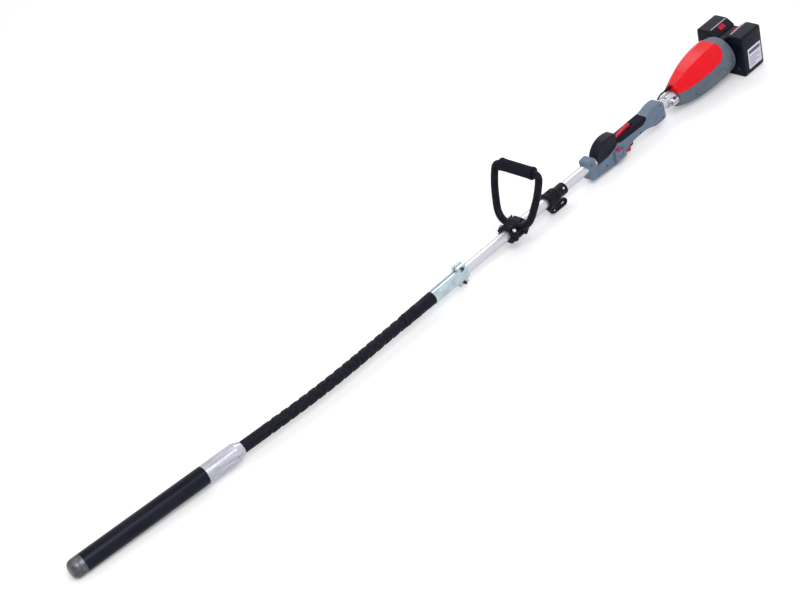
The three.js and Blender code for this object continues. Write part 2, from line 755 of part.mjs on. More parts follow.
function loopClamp() {
  const half = loopClampHalf;
  const top = loopClampTop;
  const body = prism([
    [-half, -8],
    [-13, -top],
    [13, -top],
    [half, -8],
    [half, 8],
    [13, top],
    [-13, top],
    [-half, 8],
  ], loopFront, loopFront + LOOP_CLAMP_LENGTH, 2);
  const pads = boltPlaces.map(([x, y]) => bar([x, y, -12], [x, y, 12], 6, 12));
  const holes = boltPlaces.map(([x, y]) =>
    bar([x, y, -30], [x, y, 30], LOOP_BOLT_RADIUS + FIT, 10));
  const hollow = rod(loopFront - 1, loopFront + LOOP_CLAMP_LENGTH + 1, loopBore, 28);
  return { body: together(body, ...pads), cuts: [hollow, ...holes] };
}

// Room for the bolt heads above and the nuts below.
function headRoom(side) {
  return boltPlaces.map(([x, y]) => bar([x, y, side * 12], [x, y, side * 34], 8, 12));
}

const clampParts = loopClamp();

function loopFrame() {
  const upper = clampParts.body.intersect(above(1));
  const hoop = together(loopHalf(1), loopHalf(-1)).intersect(above(1));
  return without(together(upper, hoop), ...clampParts.cuts, ...headRoom(1));
}

function loopGrip() {
  const middle = onLoop(0, LOOP_HEIGHT);
  const half = LOOP_GRIP_HALF_LENGTH;
  const [from, to] = [[middle.x, -half, middle.z], [middle.x, half, middle.z]];
  const past = [[middle.x, -half - 1, middle.z], [middle.x, half + 1, middle.z]];
  return without(
    bar(from, to, LOOP_GRIP_RADIUS, 20),
    bar(past[0], past[1], LOOP_TUBE_RADIUS + FIT, 20),
  );
}

function loopBolt([x, y]) {
  const base = 12 + SEAT;
  return together(
    bar([x, y, -base - 2], [x, y, base + 2], LOOP_BOLT_RADIUS, 10),
    bar([x, y, base], [x, y, base + 4.5], 4.5, 6),
    bar([x, y, -base - 4], [x, y, -base], 4.5, 6),
  );
}

// The rear bolts end in wings, to be undone by hand.
function wingBolt([x, y]) {
  const base = 12 + SEAT;
  const wing = 1.6;
  const wings = [1, -1].map((side) => {
    const [a, b] = side > 0 ? [x + 2, x + 7.4] : [x - 7.4, x - 2];
    return block(a, b, y - wing / 2, y + wing / 2, base + 1, base + 9);
  });
  return together(
    bar([x, y, -base - 2], [x, y, base + 1], LOOP_BOLT_RADIUS, 10),
    bar([x, y, base], [x, y, base + 6], 4.6, 12),
    ...wings,
    bar([x, y, -base - 4], [x, y, -base], 4.5, 6),
  );
}

place(
  tool,
  "loop_liner",
  ring(loopFront + 1, loopFront + LOOP_CLAMP_LENGTH - 1, linerRadius, poleFit),
  rubber,
);
place(tool, "loop_frame", loopFrame(), blackPlastic);
place(tool, "loop_grip", loopGrip(), softGrip);
place(
  tool,
  "loop_lower_clamp",
  without(clampParts.body.intersect(below(-1)), ...clampParts.cuts, ...headRoom(-1)),
  blackPlastic,
);
place(tool, "loop_bolt_left", loopBolt(boltPlaces[0]), brightSteel);
place(tool, "loop_bolt_right", loopBolt(boltPlaces[1]), brightSteel);
place(tool, "wing_bolt_left", wingBolt(boltPlaces[2]), darkSteel);
place(tool, "wing_bolt_right", wingBolt(boltPlaces[3]), darkSteel);

// ================================================================ trigger handle
const hx = (x) => handleFront + x; // from the handle's front face
const triggerPivot = [hx(146), -POLE_RADIUS - 10];
const lockPivot = [hx(134), POLE_RADIUS + 4];

const handleOutline = [
  [hx(9), -36],
  [hx(42), -38],
  [hx(106), -44],
  [hx(124), -41],
  [hx(142), -31],
  [hx(184), -18],
  [hx(HANDLE_LENGTH - 87), -18],
  [hx(HANDLE_LENGTH - 69), -22],
  [hx(HANDLE_LENGTH - 45), -30],
  [hx(HANDLE_LENGTH - 18), -31],
  [hx(HANDLE_LENGTH), -28],
  [hx(HANDLE_LENGTH - 4), 19],
  [hx(HANDLE_LENGTH - 18), 27],
  [hx(HANDLE_LENGTH - 44), 27],
  [hx(HANDLE_LENGTH - 71), 20],
  [hx(134), 19],
  [hx(106), 4],
  [hx(78), -6],
  [hx(34), -5],
  [hx(28), 25.4],
  [hx(0), 22.5],
];

const gripOutline = [
  [hx(122), GRIP_LINE + 3],
  [hx(134), GRIP_LINE],
  [hx(HANDLE_LENGTH - 95), GRIP_LINE - 4],
  [hx(HANDLE_LENGTH - 81), GRIP_LINE + 4],
  [hx(HANDLE_LENGTH - 83), 60],
  [hx(122), 60],
];

function handleBody() {
  return plate(handleOutline, -handleHalf, handleHalf, HANDLE_BEVEL);
}

const poleRoom = rod(handleFront - 5, handleRear + 5, poleFit, 28);
const gripZone = (grow) => plate(
  gripOutline.map(([x, z]) => [x + (x > hx(180) ? grow : -grow), z - grow]),
  -30,
  30,
);
const lockHalf = LOCK_HALF_WIDTH + FIT;
const lockRoom = block(hx(125), hx(199), -lockHalf, lockHalf, POLE_RADIUS + 0.6, 60);
const triggerRoom = block(
  hx(138),
  hx(190),
  -TRIGGER_HALF_WIDTH - 3.3,
  TRIGGER_HALF_WIDTH + 3.3,
  -60,
  underPole,
);
const moduleRoom = block(hx(92), hx(139), -12, 12, -36, underPole);
const switchFront = hx(106);
const switchSide = -handleHalf - SWITCH_BOX_DEPTH;

function handleShells() {
  const box = plate([
    [hx(98), -34],
    [hx(138), -32],
    [hx(138), -8],
    [hx(98), 0],
  ], switchSide, -handleHalf + 6, 1.5);
  const recess = block(
    switchFront,
    switchFront + 22,
    switchSide + 2,
    -handleHalf - 0.5,
    -7,
    20,
  );
  const pinHole = bar(
    [triggerPivot[0], -30, triggerPivot[1]],
    [triggerPivot[0], 30, triggerPivot[1]],
    TRIGGER_PIN_RADIUS + 0.1,
  );
  const domeRoom = domeCover(SEAT);
  return without(
    together(handleBody(), box),
    gripZone(SEAT),
    domeRoom,
    poleRoom,
    lockRoom,
    triggerRoom,
    moduleRoom,
    recess,
    pinHole,
  );
}

// Half-round guard ahead of the grip, over the pole.
function domeCover(grow = 0) {
  const points = [];
  for (let i = 0; i <= 12; i += 1) {
    const angle = Math.PI - (i / 12) * Math.PI;
    const side = angle > Math.PI / 2 ? 50 : 66;
    points.push([hx(88) + (side + grow) * Math.cos(angle), 2 + (43 + grow) * Math.sin(angle)]);
  }
  points.push([hx(132) + grow, 1], [hx(108), 2 - grow * 2], [hx(80), -5 - grow], [hx(38) - grow, -4]);
  const half = domeHalf + grow;
  return plate(points, -half, half, grow > 0 ? 0 : 3);
}

function controlDome() {
  const tail = block(hx(119), hx(300), -60, 60, -60, 60);
  return without(domeCover(), poleRoom, lockRoom, tail);
}

function softGripPiece() {
  const skin = handleBody().intersect(gripZone(0));
  const domeEnd = block(hx(0), hx(119 + SEAT), -60, 60, -60, 60);
  return without(skin, poleRoom, lockRoom, domeEnd);
}

const shells = handleShells();

function trigger() {
  const [px, pz] = triggerPivot;
  const blade = plate([
    [px - 4, pz + 3],
    [px + 4, pz + 4],
    [px + 30, pz - 6],
    [px + 32, pz - 12],
    [px + 30, pz - 23],
    [px + 24, pz - 22],
    [px + 4, pz - 14],
    [px - 4, pz - 6],
  ], -TRIGGER_HALF_WIDTH, TRIGGER_HALF_WIDTH, 1);
  const reach = handleHalf - 2;
  return together(blade, bar([px, -reach, pz], [px, reach, pz], TRIGGER_PIN_RADIUS));
}

// Black skirt round the trigger's root.
function triggerSkirt() {
  const [px, pz] = triggerPivot;
  const skirtTop = underPole - 0.4;
  const outer = plate([
    [px - 5, skirtTop],
    [px + 42, skirtTop],
    [px + 37, pz - 8],
    [px + 8, pz - 8],
    [px - 5, pz - 3],
  ], -TRIGGER_HALF_WIDTH - 3, TRIGGER_HALF_WIDTH + 3);
  const inside = TRIGGER_HALF_WIDTH + FIT;
  const room = block(px - 10, px + 36, -inside, inside, -60, -10);
  const hole = bar([px, -20, pz], [px, 20, pz], TRIGGER_PIN_RADIUS + 0.1);
  const bridge = block(px + 36 + SEAT, px + 42, -inside, inside, skirtTop - 3.5, skirtTop);
  return together(without(outer, room, hole), bridge);
}

function lockLever() {
  const [px, pz] = lockPivot;
  return plate([
    [px - 4, pz + 3],
    [px - 4, pz - 2],
    [px + 10, pz - 1],
    [px + 52, pz + 4],
    [px + 57, pz + 6],
    [px + 55, pz + 10],
    [px + 48, pz + 12],
    [px + 6, pz + 5],
  ], -LOCK_HALF_WIDTH, LOCK_HALF_WIDTH, 1);
}

function speedSwitch() {
  const start = switchFront + FIT;
  return block(
    start,
    start + 22 - SWITCH_TRAVEL - 2 * FIT,
    switchSide + 2 + FIT,
    -handleHalf - 0.5 - FIT,
    -7 + FIT,
    1,
  );
}

place(tool, "handle_left_shell", shells.intersect(leftOf(SEAT / 2)), greyPlastic);
place(tool, "handle_right_shell", shells.intersect(rightOf(-SEAT / 2)), greyPlastic);
place(tool, "control_dome", controlDome(), blackPlastic);
place(tool, "soft_grip", softGripPiece(), softGrip);
place(tool, "trigger", trigger(), redTrigger);
place(tool, "trigger_skirt", triggerSkirt(), blackPlastic);
place(tool, "lock_off_lever", lockLever(), redTrigger);
place(tool, "speed_switch", speedSwitch(), redTrigger);
place(
  tool,
  "switch_module",
  block(hx(92) + SEAT, hx(137), -12 + SEAT, 12 - SEAT, -36 + SEAT, underPole - SEAT),
  blackPlastic,
);

// ================================================================ rear clamp and cable
const boltAt = [tubeClampFront + TUBE_CLAMP_LENGTH / 2, -tubeClampEar + 5];

function tubeClamp() {
  const end = tubeClampFront + TUBE_CLAMP_LENGTH;
  const round = rod(tubeClampFront, end, tubeClampRadius, 24);
  const ears = block(
    tubeClampFront + 3,
    end - 3,
    -tubeClampEar,
    tubeClampEar,
    -8,
    8,
  );
  const bore = rod(tubeClampFront - 1, end + 1, poleFit, 24);
  const hole = bar([...boltAt, -20], [...boltAt, 20], TUBE_BOLT_RADIUS + FIT, 10);
  return without(together(round, ears), bore, hole);
}

const tubeClampBody = tubeClamp();

function tubeClampBolt() {
  return together(
    bar([...boltAt, -10], [...boltAt, 10], TUBE_BOLT_RADIUS, 10),
    bar([...boltAt, 8 + SEAT], [...boltAt, 12.5], 4.2, 6),
    bar([...boltAt, -12], [...boltAt, -8 - SEAT], 4.2, 6),
  );
}

// The cable from the trigger switch, with its strain relief moulded on.
function motorCable() {
  const points = [
    [handleRear - 3, 4, 20.5],
    [handleRear + 3, 4.4, 22],
    [handleRear + 9, 5, 24.5],
    [handleRear + 16, 5.3, 26],
    [handleRear + 23, 5.2, 26],
    [motorFront - 14, 5, 25],
  ].map((p) => new THREE.Vector3(...p));
  const long = 22;
  const taper = new THREE.CylinderGeometry(5, 3.2, long, 14).rotateZ(-Math.PI / 2);
  const boot = solid(taper.translate(motorFront - SEAT - long / 2, 5, 25));
  return together(swept(new THREE.CatmullRomCurve3(points), CABLE_RADIUS, 8, 16), boot);
}

place(tool, "tube_clamp_upper", tubeClampBody.intersect(above(0.6)), aluminium);
place(tool, "tube_clamp_lower", tubeClampBody.intersect(below(-0.6)), aluminium);
place(tool, "tube_clamp_bolt", tubeClampBolt(), darkSteel);
place(tool, "motor_cable", motorCable(), rubber);

// ================================================================ motor housing
const mx = (x) => motorFront + x;
const motorSections = [
  [mx(0), 24, 31, -32],
  [mx(26), 33, 41, -41],
  [mx(60), 43, 53, -48],
  [mx(101), 51, 61, -50],
  [mx(141), 55, 65, -49],
  [mx(181), 56, 65, -48],
  [mx(MOTOR_LENGTH), 54, 61, -46],
];

// The cover's lower edge rises from front to rear; above it the housing is open.
const coverZone = (gap) => plate([
  [mx(-20), 12 - gap],
  [mx(20), 13 - gap],
  [mx(150), 32 - gap],
  [mx(166) + gap, 41 - gap],
  [mx(174) + gap, 52],
  [mx(175) + gap, 90],
  [mx(-20), 90],
], -80, 80);

const statorFront = mx(74);
const bearingA = mx(54);
const bearingB = mx(160);
const motorHollow = () => {
  const inner = motorSections.slice(1).map((section) => [...section]);
  const last = inner[inner.length - 1];
  inner.push([last[0] + 20, last[1], last[2], last[3]]);
  return oval(inner, -MOTOR_WALL).intersect(block(mx(30), FAR, -FAR, FAR, -FAR, FAR));
};

function bulkhead(x, thick, hole) {
  const wall = motorHollow().intersect(block(x, x + thick, -FAR, FAR, -FAR, FAR));
  return wall.subtract(rod(x - 1, x + thick + 1, hole, 24));
}

function motorShell() {
  const walls = [
    bulkhead(bearingA + 2, 5, MOTOR_BEARING_RADIUS + FIT),
    bulkhead(statorFront + 4, 5, STATOR_RADIUS + FIT),
    bulkhead(statorFront + STATOR_LENGTH - 9, 5, STATOR_RADIUS + FIT),
    bulkhead(bearingB + 2, 5, MOTOR_BEARING_RADIUS + FIT),
  ];
  const skin = without(oval(motorSections), motorHollow());
  const poleHole = rod(mx(-1), mx(POLE_IN_MOTOR) + SEAT, poleFit, 28);
  const shaftHole = rod(mx(0), mx(40), SHAFT_RADIUS + 2, 16);
  return without(together(skin, ...walls), coverZone(SEAT), poleHole, shaftHole, ...ventCuts());
}

function ventCuts() {
  const cuts = [];
  for (const side of [1, -1]) {
    for (let i = 0; i < 4; i += 1) {
      const z = 8 + i * 7;
      cuts.push(block(mx(182), mx(200), side * 40, side * 70, z, z + 2.6).intersect(
        side > 0 ? leftOf(0) : rightOf(0),
      ));
    }
  }
  return cuts;
}

function topCover() {
  const shut = block(mx(0), mx(6), -60, 60, -60, 60);
  const body = oval(motorSections, COVER_PROUD).intersect(coverZone(0));
  const boreRoom = rod(mx(-5), mx(POLE_IN_MOTOR) + 1, poleFit + 0.2, 28);
  const cableRoom = bar([mx(-10), 5, 25], [mx(40), 5, 25], 5 + FIT, 14);
  return without(body, motorHollow(), boreRoom, cableRoom.intersect(shut));
}

const shellBody = motorShell();

function motorRotor() {
  const shaft = rod(shaftRear + SEAT, bearingB + 12, SHAFT_RADIUS, 16);
  const core = rod(statorFront + 4, statorFront + STATOR_LENGTH - 4, ROTOR_RADIUS, 20);
  return together(shaft, core);
}

function coolingFan() {
  const front = statorFront + STATOR_LENGTH + 5;
  const disc = ring(front, front + 3, FAN_RADIUS, SHAFT_RADIUS + 0.1, 24);
  const hub = ring(front, front + 10, 9, SHAFT_RADIUS + 0.1, 20);
  const blades = [];
  for (let i = 0; i < 7; i += 1) {
    const angle = (i / 7) * 2 * Math.PI;
    const blade = new THREE.BoxGeometry(8, FAN_RADIUS - 8, 1.6);
    blade.translate(front + 6, (FAN_RADIUS + 4) / 2 + 1, 0).rotateX(angle);
    blades.push(solid(blade));
  }
  return without(
    together(disc, hub, ...blades),
    rod(front - 1, front + 12, SHAFT_RADIUS + 0.1, 16),
  );
}

const motorBearing = (x) => ring(x, x + 9, MOTOR_BEARING_RADIUS, SHAFT_RADIUS + 0.1, 20);

place(tool, "motor_housing_left", shellBody.intersect(leftOf(SEAT / 2)), greyPlastic);
place(tool, "motor_housing_right", shellBody.intersect(rightOf(-SEAT / 2)), greyPlastic);
place(tool, "motor_top_cover", topCover(), redPlastic);
place(
  tool,
  "motor_stator",
  ring(statorFront, statorFront + STATOR_LENGTH, STATOR_RADIUS, ROTOR_RADIUS + 0.8, 24),
  copper,
);
place(tool, "motor_rotor", motorRotor(), darkSteel);
place(tool, "cooling_fan", coolingFan(), blackPlastic);
place(tool, "motor_bearing_front", motorBearing(bearingA), brightSteel);
place(tool, "motor_bearing_rear", motorBearing(bearingB), brightSteel);

// ================================================================ adapter and batteries
const adapterFront = motorRear + SEAT;
const railFront = packFront + 22;
const railRear = packFront + 62;
const railTop = 20;

function batteryAdapter() {
  const base = rod(adapterFront, adapterFront + ADAPTER_PLATE, ADAPTER_RADIUS, 28);
  const half = ADAPTER_HALF_WIDTH;
  const spine = block(
    adapterFront + 2,
    packRear - 6,
    -half,
    half,
    -PACK_BOTTOM + 4,
    PACK_TOP - 17,
  );
  const rails = block(
    railFront,
    railRear,
    -half - RAIL_DEPTH,
    half + RAIL_DEPTH,
    -PACK_BOTTOM + 4,
    railTop,
  );
  return together(base, spine, rails);
}

const inner = ADAPTER_HALF_WIDTH + SEAT;
const shoulder = [31, PACK_TOP]; // where the pack's top turns down to the button
const lip = [inner + 2, PACK_TOP - 14];
const slope = Math.atan2(shoulder[1] - lip[1], shoulder[0] - lip[0]);
const releaseMiddle = [(shoulder[0] + lip[0]) / 2, (shoulder[1] + lip[1]) / 2];
const releaseX = packFront + 42;

// A block lying on the sloping face of a pack, from `low` to `high` above that face.
function onSlope(side, long, wide, low, high) {
  const box = new THREE.BoxGeometry(long, wide, high - low);
  box.translate(0, 0, (high + low) / 2).rotateX(slope);
  box.translate(releaseX, releaseMiddle[0], releaseMiddle[1]);
  if (side < 0) box.scale(1, -1, 1);
  return solid(box);
}

function batteryPack(side) {
  const e = PACK_EDGE;
  const points = [
    [inner, -PACK_BOTTOM],
    [PACK_OUTSIDE - e, -PACK_BOTTOM],
    [PACK_OUTSIDE, -PACK_BOTTOM + e],
    [PACK_OUTSIDE, PACK_TOP - e],
    [PACK_OUTSIDE - e, PACK_TOP],
    shoulder,
    lip,
    [inner, lip[1] - 3],
  ].map(([y, z]) => [side * y, z]);
  if (side < 0) points.reverse();
  const body = prism(points, packFront, packRear, 3);
  const depth = side * (ADAPTER_HALF_WIDTH + RAIL_DEPTH + FIT);
  const slot = block(
    railFront - FIT,
    railRear + FIT,
    Math.min(0, depth),
    Math.max(0, depth),
    -PACK_BOTTOM - 5,
    railTop + FIT,
  );
  const pocket = onSlope(side, RELEASE_LENGTH + 2 * FIT, RELEASE_WIDTH + 2 * FIT, -8, 10);
  return without(body, slot, pocket);
}

for (const [side, name] of [[1, "left"], [-1, "right"]]) {
  place(tool, "battery_" + name, batteryPack(side), packPlastic);
  place(
    tool,
    "release_button_" + name,
    onSlope(side, RELEASE_LENGTH, RELEASE_WIDTH, -8 + RELEASE_PROUD + 1, RELEASE_PROUD),
    redTrigger,
  );
}
place(tool, "battery_adapter", batteryAdapter(), packPlastic);

// ---------------------------------------------------------------- origin
// The part stands with its origin under the middle of its own box.
assembly.updateMatrixWorld(true);
const extent = new THREE.Box3().setFromObject(assembly, true);
assembly.position.set(
  -(extent.min.x + extent.max.x) / 2,
  -(extent.min.y + extent.max.y) / 2,
  -extent.min.z,
);

export default assembly;
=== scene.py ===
import json
import math
import bmesh
import bpy
from mathutils import Euler, Matrix, Vector, noise

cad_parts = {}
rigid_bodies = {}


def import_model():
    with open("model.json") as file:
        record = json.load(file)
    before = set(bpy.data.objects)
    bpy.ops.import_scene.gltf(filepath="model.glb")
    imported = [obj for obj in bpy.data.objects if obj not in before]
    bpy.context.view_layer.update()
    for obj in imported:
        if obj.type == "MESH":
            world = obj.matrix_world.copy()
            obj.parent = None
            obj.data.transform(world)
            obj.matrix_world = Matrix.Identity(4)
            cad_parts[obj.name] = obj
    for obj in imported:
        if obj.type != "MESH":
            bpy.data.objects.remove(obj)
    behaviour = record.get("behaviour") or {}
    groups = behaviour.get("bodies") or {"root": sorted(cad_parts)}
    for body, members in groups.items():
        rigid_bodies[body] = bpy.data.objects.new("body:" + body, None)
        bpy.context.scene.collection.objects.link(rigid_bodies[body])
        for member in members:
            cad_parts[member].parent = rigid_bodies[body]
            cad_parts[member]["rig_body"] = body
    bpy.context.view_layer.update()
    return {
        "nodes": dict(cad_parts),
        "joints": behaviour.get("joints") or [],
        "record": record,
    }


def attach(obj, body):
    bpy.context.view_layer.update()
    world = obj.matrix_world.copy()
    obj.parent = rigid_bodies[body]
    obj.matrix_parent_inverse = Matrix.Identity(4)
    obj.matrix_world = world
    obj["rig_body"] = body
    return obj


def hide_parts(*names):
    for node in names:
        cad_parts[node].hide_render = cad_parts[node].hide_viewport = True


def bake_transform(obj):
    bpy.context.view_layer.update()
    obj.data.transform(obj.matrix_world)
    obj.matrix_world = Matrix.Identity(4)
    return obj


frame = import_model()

# ---------------------------------------------------------------- two axes of the tool
# The poker's half and the pole's half each have their own axis. Both start at the bend
# of the hose, and every piece is made in millimetres along one of them.
joints = {joint["name"]: joint for joint in frame["joints"]}
MM = 0.001


def axis_frame(along):
    # a frame at the bend of the hose, with +X along the given axis and +Y level
    x = Vector(along).normalized()
    y = Vector((0, 0, 1)).cross(x).normalized()
    turn = Matrix((x, y, x.cross(y))).transposed()
    return Matrix.Translation(joints["hose_flex"]["pos_m"]) @ turn.to_4x4()


tool = axis_frame(joints["motor_spin"]["axis"])
head = axis_frame(joints["eccentric_spin"]["axis"])


def extent(node, axes):
    # the lowest and highest corner of a node along its own half's axes, in millimetres
    back = axes.inverted()
    points = [back @ vertex.co / MM for vertex in frame["nodes"][node].data.vertices]
    return [Vector([pick(p[i] for p in points) for i in range(3)]) for pick in (min, max)]


# ---------------------------------------------------------------- camera, floor and light
# A long lens from above the motor's side looks down the whole tool. The floor and the
# world are white to the camera; a large soft lamp gives the shadow, a second one fills it.
VIEW_DOWN, VIEW_ROUND, VIEW_ROLL = 35.06, -39.0, -14.72  # degrees
VIEW_TARGET = (0.295, 0, 0)  # along the pole's axis, in metres
VIEW_OFFSET = (-0.02314, 0.03771, 4.511)
SKY_LEVEL = 0.62
FLOOR_COLOUR = (0.93, 0.93, 0.94, 1)
FLOOR_GLOW = 0.16
WHITE = (1, 1, 1, 1)


def in_scene(made):
    bpy.context.scene.collection.objects.link(made)
    return made


camera_data = bpy.data.cameras.new("camera")
camera_data.sensor_width = 36
camera_data.lens = 87.75
camera_data.clip_end = 60
camera = in_scene(bpy.data.objects.new("camera", camera_data))
turn = Euler((math.radians(90 - VIEW_DOWN), 0, math.radians(VIEW_ROUND)), "XYZ").to_matrix()
roll = Matrix.Rotation(math.radians(VIEW_ROLL), 3, "Z")
view = (turn @ roll).to_4x4()
view.translation = Vector(VIEW_TARGET) + view.to_3x3() @ Vector(VIEW_OFFSET)
camera.matrix_world = tool @ view
bpy.context.scene.camera = camera
bpy.context.scene.view_settings.view_transform = "Standard"


def node_in(tree, kind, inputs, **settings):
    # a shader node with its settings made, and its inputs linked or set; gives its outputs
    node = tree.nodes.new("ShaderNode" + kind)
    for setting, value in settings.items():
        setattr(node, setting, value)
    for socket, value in inputs.items():
        if isinstance(value, bpy.types.NodeSocket):
            tree.links.new(value, node.inputs[socket])
        else:
            node.inputs[socket].default_value = value
    return node.outputs


world = bpy.data.worlds.new("studio")
bpy.context.scene.world = world
world.use_nodes = True
sky_tree = world.node_tree
rays = node_in(sky_tree, "LightPath", {})
seen = node_in(sky_tree, "Math", {0: rays["Is Camera Ray"], 1: rays["Is Glossy Ray"]},
               operation="MAXIMUM")
seen = node_in(sky_tree, "Math", {0: seen[0], 1: rays["Is Transmission Ray"]},
               operation="MAXIMUM")
level = node_in(sky_tree, "MapRange", {"Value": seen[0], "To Min": SKY_LEVEL, "To Max": 1.0})
sky = sky_tree.nodes["Background"]
sky_tree.links.new(level[0], sky.inputs["Strength"])
sky.inputs["Color"].default_value = WHITE


def lamp(name, place, size, energy):
    light = bpy.data.lights.new(name, "AREA")
    light.energy = energy
    light.size = size
    made = in_scene(bpy.data.objects.new(name, light))
    made.location = place
    made.rotation_euler = (-Vector(place)).to_track_quat("-Z", "Y").to_euler()


lamp("key_lamp", (-1.2, -2.2, 3.6), 2.4, 95)
lamp("fill_lamp", (2.4, 1.6, 3.0), 2.0, 28)

floor_shape = bmesh.new()
bmesh.ops.create_grid(floor_shape, x_segments=1, y_segments=1, size=30)
floor_mesh = bpy.data.meshes.new("floor")
floor_shape.to_mesh(floor_mesh)
floor_shape.free()
floor = in_scene(bpy.data.objects.new("floor", floor_mesh))
floor.location.z = -0.0005
floor_paint = bpy.data.materials.new("floor_paint")
floor_paint.use_nodes = True
floor_tree = floor_paint.node_tree
floor_rays = node_in(floor_tree, "LightPath", {})
glow = node_in(floor_tree, "Math", {0: floor_rays["Is Camera Ray"], 1: FLOOR_GLOW},
               operation="MULTIPLY")
floor_shader = floor_tree.nodes["Principled BSDF"]
floor_tree.links.new(glow[0], floor_shader.inputs["Emission Strength"])
for socket, value in (("Base Color", FLOOR_COLOUR), ("Roughness", 0.9),
                      ("Specular IOR Level", 0), ("Emission Color", WHITE)):
    floor_shader.inputs[socket].default_value = value
floor_mesh.materials.append(floor_paint)


# ---------------------------------------------------------------- poker cap
# A hardened steel nose pressed into the tube. It is turned on a lathe, so it keeps fine
# rings round its dome, and a groove where it meets the tube.
def turned(profile, steps=72):
    # a profile of (x, radius) points spun about the X axis into a closed skin
    shape = bmesh.new()
    points = [shape.verts.new((x, 0, radius)) for x, radius in profile]
    edges = [shape.edges.new(pair) for pair in zip(points, points[1:])]
    bmesh.ops.spin(
        shape, geom=points + edges, cent=(0, 0, 0), axis=(1, 0, 0),
        angle=2 * math.pi, steps=steps, use_merge=True,
    )
    bmesh.ops.remove_doubles(shape, verts=shape.verts, dist=0.001)
    bmesh.ops.dissolve_degenerate(shape, edges=shape.edges, dist=0.0001)
    bmesh.ops.recalc_face_normals(shape, faces=shape.faces)
    return shape


def finished(name, shape, axes, material, stands_for=(), body=None, crease=32):
    # a shape becomes a piece in its place, on the body of what it stands for; a piece that
    # bends between two bodies rides on "none"
    shape.transform(axes @ Matrix.Scale(MM, 4))
    mesh = bpy.data.meshes.new(name)
    shape.to_mesh(mesh)
    shape.free()
    mesh.shade_smooth()
    mesh.set_sharp_from_angle(angle=math.radians(crease))
    mesh.materials.append(material)
    made = in_scene(bpy.data.objects.new(name, mesh))
    if body != "none":
        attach(made, body or frame["nodes"][stands_for[0]]["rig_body"])
    if stands_for:
        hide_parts(*stands_for)
    return made


def node_group(name, inputs, outputs):
    # a socket with no value takes a vector, one with a tuple a colour, and others a number
    group = bpy.data.node_groups.new(name, "ShaderNodeTree")
    for label, value in inputs.items():
        kind = "Vector" if value is None else "Color" if isinstance(value, tuple) else "Float"
        socket = group.interface.new_socket(
            label, in_out="INPUT", socket_type="NodeSocket" + kind
        )
        if value is not None:
            socket.default_value = value
    for label, kind in outputs.items():
        group.interface.new_socket(label, in_out="OUTPUT", socket_type="NodeSocket" + kind)
    source, result = group.nodes.new("NodeGroupInput"), group.nodes.new("NodeGroupOutput")
    return group, source.outputs, result.inputs


def tone_group():
    # two tones and two gloss levels that change over the surface in soft patches
    group, source, result = node_group(
        "tone",
        {"Vector": None, "Base": (0.5, 0.5, 0.5, 1), "Second": (0.6, 0.6, 0.6, 1),
         "Scale": 60.0, "Smooth": 0.3, "Rough": 0.5},
        {"Color": "Color", "Roughness": "Float"},
    )
    patches = node_in(group, "TexNoise", {
        "Vector": source["Vector"], "Scale": source["Scale"], "Detail": 5, "Roughness": 0.62,
    })
    spread = node_in(group, "MapRange", {
        "Value": patches["Fac"], "From Min": 0.34, "From Max": 0.68,
    })
    mix = node_in(group, "Mix", {
        "Factor": spread[0], "A": source["Base"], "B": source["Second"],
    }, data_type="RGBA")
    gloss = node_in(group, "MapRange", {
        "Value": spread[0], "To Min": source["Smooth"], "To Max": source["Rough"],
    })
    group.links.new(mix["Result"], result["Color"])
    group.links.new(gloss[0], result["Roughness"])
    return group


def relief_group():
    # the fine grain of a moulded, cast or drawn surface, as a normal
    group, source, result = node_group(
        "relief", {"Vector": None, "Scale": 900.0, "Depth": 0.0001}, {"Normal": "Vector"}
    )
    grain = node_in(group, "TexNoise", {
        "Vector": source["Vector"], "Scale": source["Scale"], "Detail": 3,
    })
    bump = node_in(group, "Bump", {
        "Height": grain["Fac"], "Distance": source["Depth"], "Strength": 0.8,
    })
    group.links.new(bump["Normal"], result["Normal"])
    return group


def wear_group():
    # a mask of rubbed edges, broken up by scratches
    group, source, result = node_group(
        "wear",
        {"Vector": None, "Base": (0.5, 0.5, 0.5, 1), "Bare": (0.8, 0.8, 0.8, 1), "Amount": 0.5},
        {"Color": "Color"},
    )
    rounded_edge = node_in(group, "Bevel", {"Radius": 0.0012}, samples=4)
    facing = node_in(group, "NewGeometry", {})
    across = node_in(group, "VectorMath", {
        0: rounded_edge["Normal"], 1: facing["True Normal"],
    }, operation="DOT_PRODUCT")
    edge = node_in(group, "MapRange", {
        "Value": across["Value"], "From Min": 0.995, "From Max": 0.86,
    })
    scratches = node_in(group, "TexNoise", {
        "Vector": source["Vector"], "Scale": 140, "Detail": 5,
    })
    broken = node_in(group, "MapRange", {
        "Value": scratches["Fac"], "From Min": 0.42, "From Max": 0.62,
    })
    mask = node_in(group, "Math", {0: edge[0], 1: broken[0]}, operation="MULTIPLY")
    share = node_in(group, "Math", {0: mask[0], 1: source["Amount"]}, operation="MULTIPLY")
    mix = node_in(group, "Mix", {
        "Factor": share[0], "A": source["Base"], "B": source["Bare"],
    }, data_type="RGBA")
    group.links.new(mix["Result"], result["Color"])
    return group


tone = tone_group()
relief = relief_group()
wear = wear_group()


